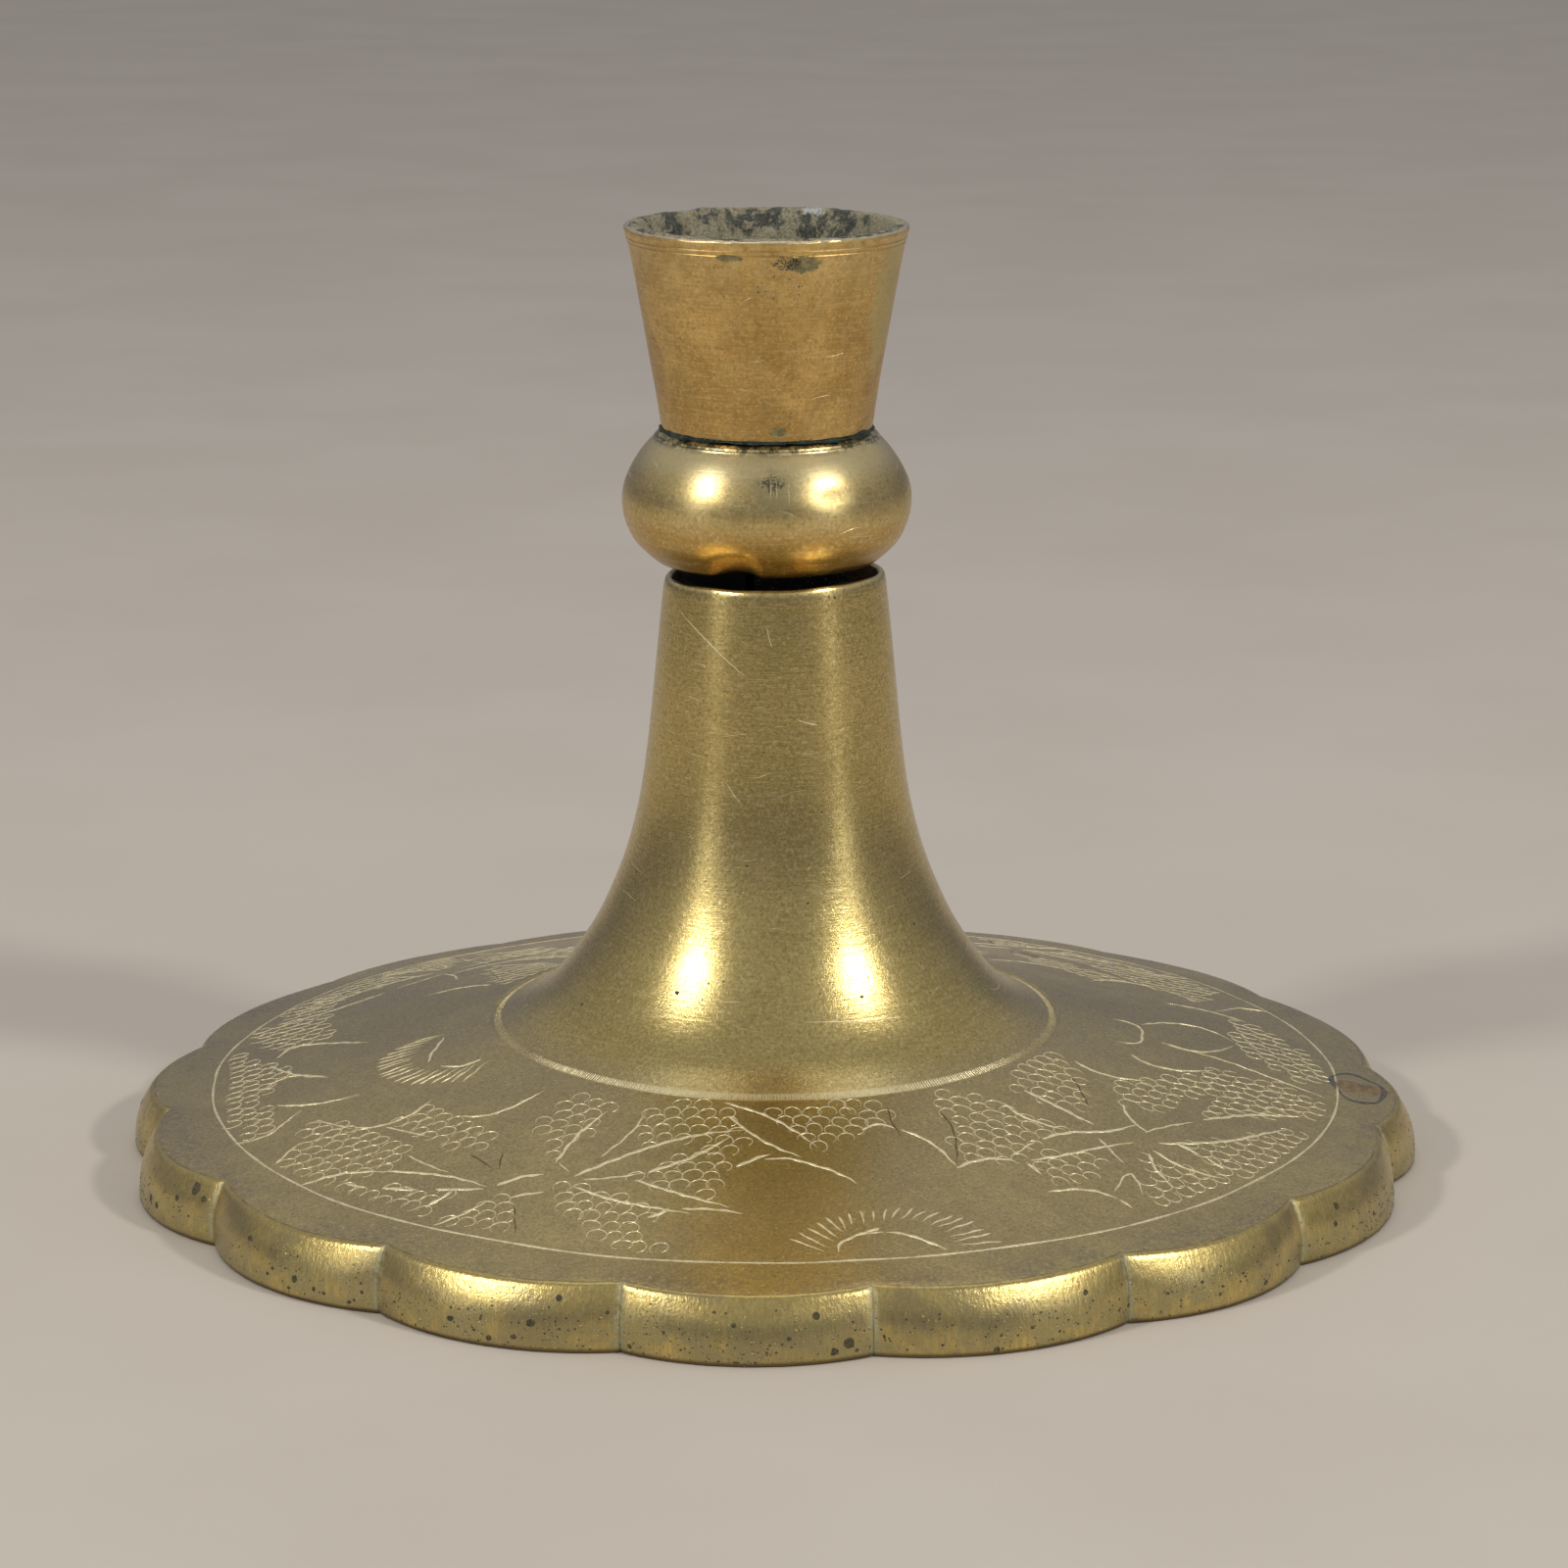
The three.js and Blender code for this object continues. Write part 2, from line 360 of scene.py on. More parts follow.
def stem_tone(s, n):
    return s.layers(
        s.between(n.cloud, 0.36, 0.66, (0.555, 0.425, 0.15), (0.665, 0.505, 0.18)),
        (n.mottle, 0.45, 0.72, 0.45, (0.54, 0.43, 0.16)),
        (n.coarse, 0.5, 0.7, 0.45, (0.47, 0.375, 0.135)),
        (n.coarse, 0.46, 0.3, 0.4, (0.80, 0.64, 0.27)),
        (n.turning, 0.42, 0.72, 0.5, (0.84, 0.66, 0.28)),
        (n.grain, 0.54, 0.68, 0.62, (0.36, 0.28, 0.10)),
        (n.spark, *SPARKS, (0.95, 0.80, 0.42)),
        (n.fleck, 0.54, 0.67, 0.55, (0.37, 0.29, 0.11)),
        (n.fleck, 0.45, 0.33, 0.5, (0.90, 0.75, 0.38)))


def patina_tone(s, n):
    patina = s.layers(
        s.between(n.mottle, 0.35, 0.68, (0.60, 0.475, 0.208), (0.71, 0.555, 0.235)),
        (n.cloud, 0.42, 0.62, 0.6, (0.54, 0.42, 0.208)),
        (n.coarse, 0.52, 0.7, 0.45, (0.43, 0.345, 0.165)),
        (n.coarse, 0.44, 0.28, 0.35, (0.76, 0.64, 0.32)),
        (n.grain, 0.54, 0.68, 0.6, (0.33, 0.265, 0.13)),
        (n.spark, *SPARKS, (0.86, 0.76, 0.48)),
        (n.fleck, 0.55, 0.67, 0.55, (0.36, 0.29, 0.15)),
        (n.fleck, 0.43, 0.33, 0.5, (0.84, 0.73, 0.42)))
    border = s.times(s.ramp(s.radius, 58.2, 61.0), s.ramp(n.coarse, 0.44, 0.6), s.ramp(n.cloud, 0.42, 0.56))
    return s.coats(patina, (border, 0.6, (0.34, 0.275, 0.20)))


def side_wall_tone(s, n):
    filed = s.between(n.filing, 0.35, 0.65, (0.57, 0.43, 0.15), (0.71, 0.55, 0.205))
    low = s.times(s.ramp(s.z, 5.2, 1.8), s.ramp(n.mottle, 0.28, 0.58))
    stained = s.noise(0.16, 3, 0.6, 0.5, offset=(8, 40, 11))
    return s.layers(
        s.coats(filed, (low, 0.9, (0.42, 0.37, 0.188))),
        (stained, 0.5, 0.62, 0.5, (0.40, 0.33, 0.17)),
        (n.coarse, 0.56, 0.72, 0.6, (0.36, 0.32, 0.16)),
        (n.grain, 0.56, 0.7, 0.5, (0.30, 0.25, 0.11)),
        (n.spark, *SPARKS, (0.92, 0.80, 0.46)))


def casting_tone(s, n):
    return s.layers(s.between(n.coarse, 0.35, 0.65, (0.20, 0.15, 0.07), (0.36, 0.27, 0.12)),
                    (n.mottle, 0.56, 0.7, 0.6, (0.12, 0.17, 0.13)))


def foot_material(name):
    s = Shader(name)
    n = foot_noises(s)
    top, wall, inside = s.region("X"), s.region("Y"), s.region("Z")
    outside = s.without(inside)
    colour = s.blend(top, stem_tone(s, n), patina_tone(s, n))
    colour = s.blend(wall, colour, side_wall_tone(s, n))
    colour = s.blend(inside, colour, casting_tone(s, n))

    hollow, _ = s.pits(1.5, 0.7, 0.26, (0.05, -0.05))
    fine_hollow, chance = s.pits(3.4, 0.55, 0.30, (0.08, -0.08))
    crowd = s.times(s.ramp(n.mottle, 0.42, 0.62), s.ramp(s.z, 5.4, 3.2))
    few = s.times(s.ramp(chance, *STRAY_PITS), fine_hollow, outside)
    pits = s.most(s.times(s.most(hollow, fine_hollow), crowd, wall), s.times(few, 0.7))
    # Wear with a painted highlight: the worn top of the stem's lip is lightened to cream.
    lip_wear_and_highlight = s.times(s.ramp(s.z, 58.85, 59.15), s.ramp(n.coarse, 0.62, 0.48), outside)
    distance, chance = s.cells(1.3)
    dust = s.times(s.ramp(distance, 0.13, 0.07), s.ramp(chance, 0.90, 0.93))
    in_cusp = s.attribute("crevice")
    crevice = s.times(in_cusp, s.ramp(n.coarse, 0.34, 0.6))
    # Painted shade: a dark line down the middle of each cusp's crease; the pale green crevice tone is
    # verdigris.
    crease = s.times(s.ramp(in_cusp, 0.84, 0.97), s.ramp(n.coarse, 0.30, 0.5))
    # Painted shadow: a dark brown band along the bottom of the side wall, where it meets the floor.
    tread = s.times(s.ramp(s.z, 0.62, 0.25), wall)
    # Darker patches along the edge where the top meets the side wall.
    dark_shoulder_edge = s.times(top, wall, 4.0, s.ramp(n.mottle, 0.35, 0.6))
    # Painted highlight: the milled band at the bottom of the flare is lightened to cream on the side that
    # faces the camera.
    front = s.ramp(s.vector("DOT_PRODUCT", s.around, (0, -1, 0), output="Value"), 0.5, 0.85)
    rolled = s.times(s.ramp(s.radius, 27.6, 27.8), s.ramp(s.radius, 28.65, 28.5),
                     s.ramp(s.z, 14.6, 14.3), front)
    colour = s.coats(
        colour,
        (pits, 0.85, (0.05, 0.045, 0.028)),
        (lip_wear_and_highlight, 0.85, (0.84, 0.66, 0.28)),
        (dust, 0.8, (0.95, 0.91, 0.74)),
        (crevice, 0.8, (0.46, 0.48, 0.33)),
        (crease, 0.45, (0.16, 0.14, 0.08)),
        (tread, 0.8, (0.13, 0.085, 0.04)),
        (dark_shoulder_edge, 0.7, (0.25, 0.195, 0.11)),
        (rolled, 0.6, (0.90, 0.78, 0.44)))

    metallic = s.ramp(s.most(pits, s.times(crevice, 0.8)), 0.0, 1.0, 1.0, 0.25)
    gloss = s.total(0.135, (n.coarse, 0.12), (n.grain, 0.12), (crevice, 0.3), (top, 0.035), (wall, 0.05),
                    (inside, 0.35), (pits, 0.3))
    lined = s.times(n.turning, s.without(s.add(s.times(top, 0.8), wall)))
    height = s.total(0.0, (n.grain, 0.012), (n.coarse, 0.02), (lined, 0.016),
                     (s.times(n.filing, wall), 0.035), (pits, -0.09), (s.times(n.coarse, inside), 0.25))
    return s.finish(colour, metallic, gloss, height)


def brushed(material, amount):
    """Turned metal: highlights drawn out across the fine marks that run round the axis."""
    tree = material.node_tree
    surface = next(node for node in tree.nodes if node.type == "BSDF_PRINCIPLED")
    surface.inputs["Anisotropic"].default_value = amount
    surface.inputs["Anisotropic Rotation"].default_value = 0.25
    tangent = tree.nodes.new("ShaderNodeTangent")
    tangent.direction_type = "RADIAL"
    tangent.axis = "Z"
    tree.links.new(tangent.outputs[0], surface.inputs["Tangent"])
    return material


def knop_material():
    s = Shader("polished_brass_knop", UPPER_AXIS)
    cloud = s.noise(0.12, 3, 0.6)
    mottle = s.noise(0.5, 4, 0.65, 0.5, offset=(3, 21, 6))
    grain = s.noise(6.0, 3, 0.6)
    coarse = s.noise(1.6, 4, 0.7, offset=(5, 1, 9))
    fleck = s.noise(2.7, 3, 0.6, offset=(4, 12, 23))
    turning = s.noise(1.6, 4, 0.7, vector=s.turned(1.5, (1, 1, 3.6)))
    # Painted reflection: the lower belt of the knop is coloured an uneven orange-brown.
    lower_belt_reflection = s.times(s.ramp(s.z, 67.0, 64.4), s.ramp(coarse, 0.25, 0.6, 0.6, 1.0))
    polished = s.between(cloud, 0.38, 0.62, (0.66, 0.50, 0.20), (0.74, 0.57, 0.25))
    colour = s.layers(
        s.coats(polished, (lower_belt_reflection, 0.85, (0.57, 0.34, 0.095))),
        # Painted shade: darker towards the knop's bottom edge, on its underside.
        (s.z, 63.9, 61.2, 1.0, (0.31, 0.17, 0.045)),
        (turning, 0.48, 0.72, 0.5, (0.84, 0.68, 0.34)),
        (mottle, 0.5, 0.7, 0.5, (0.50, 0.41, 0.17)),
        (grain, 0.55, 0.7, 0.55, (0.38, 0.28, 0.11)),
        (fleck, 0.53, 0.66, 0.5, (0.36, 0.28, 0.11)),
        (fleck, 0.45, 0.33, 0.45, (0.90, 0.76, 0.42)))

    # Painted reflection: the upper knop under the cup is lightened to pale brass, as if it mirrored the lit
    # cup wall above.
    shoulder = s.times(s.ramp(s.z, 69.6, 72.0), s.ramp(s.radius, 10.6, 11.2))
    ragged = s.ramp(s.noise(1.15, 6, 0.85, 1.2, offset=(31, 2, 7)), 0.34, 0.66)
    stain = s.spot(-86.8, 70.6, 1.0, 0.55, ragged)
    halo = s.spot(-86.0, 69.9, 2.3, 1.8, s.noise(0.8, 4, 0.7, offset=(9, 2, 4)))
    seat = s.times(s.ramp(s.z, 72.7, 73.5), s.ramp(s.noise(0.9, 4, 0.7, offset=(6, 6, 1)), 0.43, 0.56))
    colour = s.coats(
        colour,
        (shoulder, 0.6, (0.88, 0.75, 0.42)),
        (halo, 0.55, (0.36, 0.32, 0.17)),
        (s.times(stain, s.ramp(fleck, 0.28, 0.5)), 0.9, (0.06, 0.062, 0.045)),
        (seat, 0.85, (0.05, 0.065, 0.05)))

    # Painted shade: the spigot and the underside of the knop's edge, deep in the stem's mouth, are painted
    # near black; grit shows only right of the slit, and the left side stays in painted shadow.
    shaded_underside = s.times(s.ramp(s.radius, 10.62, 10.4), s.ramp(s.z, 62.4, 62.0))
    spigot = s.most(s.ramp(s.z, 60.9, 60.3), shaded_underside)
    right_of_slit = s.ramp(s.x, -2.2, -1.2)
    dust = s.times(s.ramp(s.noise(3.0, 4, 0.75), 0.56, 0.68), right_of_slit)
    colour = s.blend(spigot, colour, s.blend(dust, (0.010, 0.009, 0.008), (0.23, 0.195, 0.12)))
    matt = s.most(stain, spigot, s.times(shoulder, 0.12))
    gloss = s.total(0.22, (coarse, 0.12), (grain, 0.10), (halo, 0.1), (spigot, 0.5))
    height = s.total(0.0, (turning, 0.010), (grain, 0.004), (coarse, 0.012), (s.times(spigot, coarse), 0.15))
    s.set("Specular IOR Level", 0.1)
    return brushed(s.finish(colour, s.ramp(matt, 0, 1, 1.0, 0.15), gloss, height), 0.25)


def cup_material():
    s = Shader("tarnished_brass_cup", UPPER_AXIS)
    cloud = s.noise(0.16, 3, 0.6, 0.5)
    grain = s.noise(6.5, 3, 0.65)
    coarse = s.noise(1.5, 4, 0.7, offset=(2, 8, 5))
    fleck = s.noise(2.9, 3, 0.6, offset=(17, 3, 8))
    turning = s.noise(2.2, 5, 0.75, vector=s.turned(4, (0.35, 0.35, 2.6)))
    mottle = s.noise(0.6, 5, 0.7, 0.8, offset=(7, 19, 4))
    dull = s.noise(0.35, 4, 0.7, 0.4, offset=(61, 5, 2))
    tarnish = s.layers(
        s.between(cloud, 0.35, 0.65, (0.52, 0.32, 0.095), (0.76, 0.50, 0.165)),
        (mottle, 0.46, 0.7, 0.6, (0.60, 0.43, 0.17)),
        (turning, 0.46, 0.70, 0.55, (0.86, 0.63, 0.29)),
        (turning, 0.50, 0.32, 0.5, (0.50, 0.29, 0.085)),
        (coarse, 0.5, 0.68, 0.5, (0.38, 0.26, 0.09)),
        (coarse, 0.44, 0.3, 0.4, (0.80, 0.60, 0.26)),
        (grain, 0.54, 0.68, 0.65, (0.36, 0.22, 0.07)))
    high = s.times(s.ramp(s.z, 86.5, 92.5), s.ramp(mottle, 0.3, 0.6))
    colour = s.layers(
        s.coats(tarnish, (high, 0.5, (0.78, 0.61, 0.29))),
        (fleck, 0.54, 0.67, 0.45, (0.40, 0.27, 0.09)),
        (fleck, 0.45, 0.33, 0.4, (0.88, 0.68, 0.34)),
        (dull, 0.5, 0.68, 0.35, (0.46, 0.34, 0.14)))

    edge = s.noise(2.0, 4, 0.7, offset=(1, 1, 1))
    yellowed = s.spot(-22.0, 87.0, 3.0, 6.5, s.noise(0.55, 4, 0.7, offset=(4, 4, 9)))
    long_patch = s.spot(-105.0, 92.35, 1.35, 0.34, edge)
    round_patch = s.spot(-74.5, 91.75, 1.65, 0.80, edge)
    foot_patch = s.spot(-84.0, 75.2, 0.8, 0.5, edge)
    oxide = s.most(long_patch, round_patch, foot_patch)
    specks = s.spot(-81.5, 91.9, 1.3, 0.7, s.noise(3.5, 3, 0.7))
    scatter = s.spot(-86.0, 89.6, 2.6, 1.7, edge)
    pits, chance = s.pits(2.6, 0.45, 0.3, (0.04, -0.06))
    stray = s.times(pits, s.ramp(chance, *STRAY_PITS))
    dark = s.most(s.times(specks, s.ramp(grain, 0.46, 0.56)), s.times(scatter, pits, 0.8),
                  s.times(stray, 0.6))
    lip = s.times(s.ramp(s.z, CUP_TOP_Z - 0.32, CUP_TOP_Z - 0.12), s.ramp(coarse, 0.3, 0.5))
    colour = s.coats(
        colour,
        (yellowed, 0.55, (0.60, 0.53, 0.23)),
        (oxide, 0.9, s.between(coarse, 0.4, 0.62, (0.15, 0.135, 0.055), (0.29, 0.255, 0.11))),
        (dark, 0.92, (0.03, 0.03, 0.02)),
        (lip, 0.8, (0.93, 0.80, 0.52)))

    metallic = s.ramp(s.most(oxide, dark), 0, 1, 1.0, 0.2)
    gloss = s.total(0.26, (coarse, 0.14), (grain, 0.12), (oxide, 0.2), (lip, -0.12))
    height = s.total(0.0, (turning, 0.03), (grain, 0.012), (coarse, 0.03), (oxide, -0.04), (dark, -0.08))
    return brushed(s.finish(colour, metallic, gloss, height), 0.25)


def crust_material():
    """Old wax over verdigris, in lumpy patches, with one pale flake at the back of the rim."""
    s = Shader("wax_and_verdigris", UPPER_AXIS)
    streaked = s.vector("MULTIPLY", s.place, (1, 1, 0.8))
    kinds = s.noise(0.34, 6, 0.72, 0.3, vector=streaked)
    second = s.noise(0.8, 5, 0.7, 0.3, vector=streaked, offset=(13, 4, 8))
    grain = s.noise(3.4, 5, 0.75)
    green = s.layers(s.between(grain, 0.35, 0.65, (0.05, 0.054, 0.046), (0.20, 0.205, 0.165)),
                     (second, 0.52, 0.64, 0.8, (0.12, 0.10, 0.065)))
    wax = s.between(grain, 0.33, 0.6, (0.27, 0.235, 0.125), (0.56, 0.505, 0.33))
    colour = s.layers(s.between(kinds, 0.45, 0.53, green, wax), (second, 0.38, 0.28, 0.6, (0.40, 0.41, 0.35)))
    flake = s.spot(68.0, 93.9, 0.95, 0.30, s.ramp(s.noise(2.0, 5, 0.8), 0.38, 0.62, 0.15, 0.85))
    return s.finish(s.blend(flake, colour, (0.76, 0.77, 0.74)), 0.0, s.ramp(grain, 0.2, 0.8, 0.5, 0.85),
                    s.total(0.0, (grain, 0.35), (kinds, 0.9)))


def verdigris_material():
    s = Shader("black_verdigris", UPPER_AXIS)
    grain = s.noise(3.6, 4, 0.7)
    colour = s.between(s.noise(0.8, 5, 0.7), 0.4, 0.62, (0.010, 0.014, 0.012), (0.030, 0.066, 0.052))
    colour = s.layers(colour, (grain, 0.57, 0.70, 0.85, (0.24, 0.33, 0.28)))
    return s.finish(colour, 0.0, s.ramp(grain, 0.2, 0.8, 0.45, 0.8), s.times(grain, 0.3))


def cut_material(name, light, dark, metal):
    """Metal bared by a graver, dulled where dirt has stayed in the cut."""
    s = Shader(name)
    grain = s.noise(7.0, 2, 0.6)
    colour = s.layers(s.blend(s.ramp(s.noise(1.4, 4, 0.7), 0.42, 0.68, 0, 0.8), light, dark),
                      (grain, 0.5, 0.7, 0.4, dark))
    return s.finish(colour, metal, s.ramp(grain, 0.2, 0.8, 0.28, 0.5), s.times(grain, 0.02))


def grainy_material(name, noise, spread, tones, metallic, gloss, relief):
    """Two tones mixed by one noise, which also sets the metal, the gloss and the bump."""
    s = Shader(name)
    grain = s.noise(*noise, 0.7)
    return s.finish(s.between(grain, *spread, *tones), s.ramp(grain, 0.3, 0.7, *metallic),
                    s.ramp(grain, 0.2, 0.8, *gloss), s.times(grain, relief))


# ---------------------------------------------------------------- mesh building

def add_piece(name, points, faces, material, body, crease=CREASE, regions=None):
    """One object from points in millimetres, riding on a body."""
    mesh = bpy.data.meshes.new(name)
    mesh.from_pydata((np.asarray(points, float) * MM).tolist(), [], faces)
    mesh.validate()
    mesh.polygons.foreach_set("use_smooth", [True] * len(mesh.polygons))
    mesh.set_sharp_from_angle(angle=math.radians(crease))
    mesh.materials.append(material)
    if regions is not None:
        paint = mesh.color_attributes.new("region", "FLOAT_COLOR", "POINT")
        paint.data.foreach_set("color", np.c_[regions, np.ones(len(regions))].ravel())
    piece = bpy.data.objects.new(name, mesh)
    bpy.context.scene.collection.objects.link(piece)
    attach(piece, body)
    return piece


def revolve(outline, angles, axis, deform):
    """Closed surface of revolution. An outline that starts and ends on the axis gets two poles."""
    outline = np.asarray(outline, float)
    poles = outline[0, 0] == 0
    rows = outline[1:-1] if poles else outline
    radius = np.repeat(rows[:, :1], len(angles), axis=1)
    height = np.repeat(rows[:, 1:2], len(angles), axis=1)
    turn = np.repeat(np.radians(angles)[None, :], len(rows), axis=0)
    radius, height, turn = deform(radius, height, turn)
    x = axis[0] + radius * np.cos(turn)
    y = axis[1] + radius * np.sin(turn)
    points = np.stack([x, y, height], axis=2).reshape(-1, 3)
    count, width = len(rows), len(angles)
    last = count - 1 if poles else count
    faces = []
    for i in range(last):
        a, b = i * width, (i + 1) % count * width
        for j in range(width):
            k = (j + 1) % width
            faces.append((a + j, a + k, b + k, b + j))
    if poles:
        start, end = len(points), len(points) + 1
        points = np.vstack([points, [*axis, outline[0, 1]], [*axis, outline[-1, 1]]])
        for j in range(width):
            k = (j + 1) % width
            faces.append((start, k, j))
            faces.append((end, (count - 1) * width + j, (count - 1) * width + k))
    return points, faces


DROP_HEIGHT = 45.0                # marks on the foot's top are dropped from this height
OUT_OF_REACH = 90.0               # marks on the sides come in from this far out


class Marks:
    """Many small raised or cut marks laid on a surface and gathered into one mesh."""

    CUT = ((-0.5, -0.05), (-0.30, 0.045), (0.0, 0.012), (0.30, 0.045), (0.5, -0.05), (0.0, -0.12))
    RIDGE = ((-0.5, -0.04), (0.0, 0.045), (0.5, -0.04), (0.0, -0.10))

    def __init__(self, tree):
        self.tree = tree
        self.points = []
        self.faces = []

    def drop(self, x, y):
        """The place and slope of the surface under (x, y)."""
        place, normal, _, _ = self.tree.ray_cast(Vector((x, y, DROP_HEIGHT)), Vector((0, 0, -1)))
        return (place, normal) if place is not None and normal.z > 0.3 else (None, None)

    def reach(self, axis, angle, height):
        """The place and slope of the surface met on the way in to an axis."""
        turn = math.radians(angle)
        away = Vector((math.cos(turn), math.sin(turn), 0))
        start = Vector((axis[0], axis[1], height)) + away * OUT_OF_REACH
        place, normal, _, _ = self.tree.ray_cast(start, -away)
        return place, normal

    def ribbon(self, hits, section, relief=1.0):
        """A closed ribbon through (place, normal, width) hits, its section scaled to each width."""
        hits = [hit for hit in hits if hit[0] is not None]
        if len(hits) < 3:
            return
        places, normals, widths = (np.array(part) for part in zip(*hits))
        along = np.gradient(places, axis=0)
        sides = np.cross(normals, along)
        sides /= np.linalg.norm(sides, axis=1)[:, None] + 1e-9
        share = np.clip(widths / max(widths.max(), 1e-6), 0.15, 1)
        base = len(self.points)
        count = len(section)
        for place, side, normal, width, part in zip(places, sides, normals, widths, share):
            for offset, rise in section:
                lift = rise * (part if rise > 0 else 1) * (relief if rise > 0 else 1)
                self.points.append(place + side * offset * width + normal * lift)
        for i in range(len(places) - 1):
            a, b = base + i * count, base + (i + 1) * count
            for j in range(count):
                k = (j + 1) % count
                self.faces.append((a + j, b + j, b + k, a + k))
        self.faces.append(tuple(base + j for j in range(count)))
        tail = base + (len(places) - 1) * count
        self.faces.append(tuple(tail + j for j in reversed(range(count))))

    def blister(self, centre, normal, half_width, half_height, rise, draw, sides=14):
        """A thin uneven crust around one place, its edge sunk into the surface."""
        normal = Vector(normal).normalized()
        across = Vector((0, 0, 1)).cross(normal)
        across = across.normalized() if across.length > 0.2 else Vector((1, 0, 0))
        up = normal.cross(across)
        lobes = [draw.uniform(0.72, 1.25) for _ in range(sides)]
        base = len(self.points)
        shells = ((1.0, -0.04), (0.8, 0.55), (0.45, 0.9))
        for reach, lift in shells:
            for j in range(sides):
                turn = 2 * math.pi * j / sides
                swell = lobes[j] * 0.6 + 0.2 * (lobes[j - 1] + lobes[(j + 1) % sides])
                spot = (centre + across * (math.cos(turn) * half_width * reach * swell)
                        + up * (math.sin(turn) * half_height * reach * swell))
                near, _, _, _ = self.tree.find_nearest(spot)
                height = lift if lift < 0 else lift * rise * draw.uniform(0.7, 1.2)
                self.points.append(np.array(near + normal * height))
        self.points.append(np.array(centre + normal * rise))
        self.points.append(np.array(centre - normal * 0.12))
        top, under = base + 3 * sides, base + 3 * sides + 1
        for j in range(sides):
            k = (j + 1) % sides
            for shell in range(2):
                a, b = base + shell * sides, base + (shell + 1) * sides
                self.faces.append((a + j, a + k, b + k, b + j))
            self.faces.append((base + 2 * sides + j, base + 2 * sides + k, top))
            self.faces.append((base + k, base + j, under))

    def build(self, name, material, body, slot):
        return add_piece(name, self.points, self.faces, material, body, crease=50)


# ---------------------------------------------------------------- foot and stem

CUSP_DRIFT = (0.4, 1.4, 1.7, 0.2, 0.7, -0.2, 1.3, -2.2, 0.4, 0, 0, 0, 0, -0.4, 2.0, 0)  # hand-cut, degrees
CUSP_DRIFT_START = -149.6
LOBE_SWELL = (0, 0, 0, 0, 0, 0, 0.2, 0, 0, 0, 0, 0, 0, 0.3, 0.8, 0.6)  # lobes cut proud of the rest
BORDER_SLOPE = 0.83               # of the engraved slope, outside the ring
CONE_SLOPE = (FLARE_Z - RING_Z) / (RING_RADIUS - FLARE_RADIUS)

ripple = waves(11, 26)
dimple = waves(12, 9)
casting = waves(13, 3.5, 11)

# Where the columns stand within a lobe, from one cusp to the crest: closest at the cusp.
HALF_LOBE = (0, 0.010, 0.024, 0.045, 0.08, 0.125, 0.18, 0.24, 0.30, 0.36, 0.43)
LOBE_SHARES = HALF_LOBE + (0.5,) + tuple(1 - share for share in reversed(HALF_LOBE[1:]))


def foot_columns():
    return np.array([LOBE_PHASE + LOBE_PITCH * (lobe + share)
                     for lobe in range(LOBES) for share in LOBE_SHARES])


def foot_crevice():
    """1 in a cusp, falling to 0 a millimetre away, for each column."""
    from_cusp = [min(share, 1 - share) * math.radians(LOBE_PITCH) * FOOT_RADIUS for share in LOBE_SHARES]
    return np.tile(np.exp(-(np.array(from_cusp) / 0.45) ** 2), LOBES)


def lobe_profile(share):
    """How far in the outline is, 0 at a crest and 1 at a cusp, for an arc through both."""
    half = math.radians(LOBE_PITCH / 2)
    cusp_radius = FOOT_RADIUS - CUSP_DEPTH
    half_chord = cusp_radius * math.sin(half)
    rise = FOOT_RADIUS - cusp_radius * math.cos(half)
    arc = (half_chord ** 2 + rise ** 2) / (2 * rise)
    centre = FOOT_RADIUS - arc
    turn = np.abs(share - 0.5) * 2 * half
    reach = centre * np.cos(turn) + np.sqrt(arc ** 2 - (centre * np.sin(turn)) ** 2)
    return (FOOT_RADIUS - reach) / CUSP_DEPTH


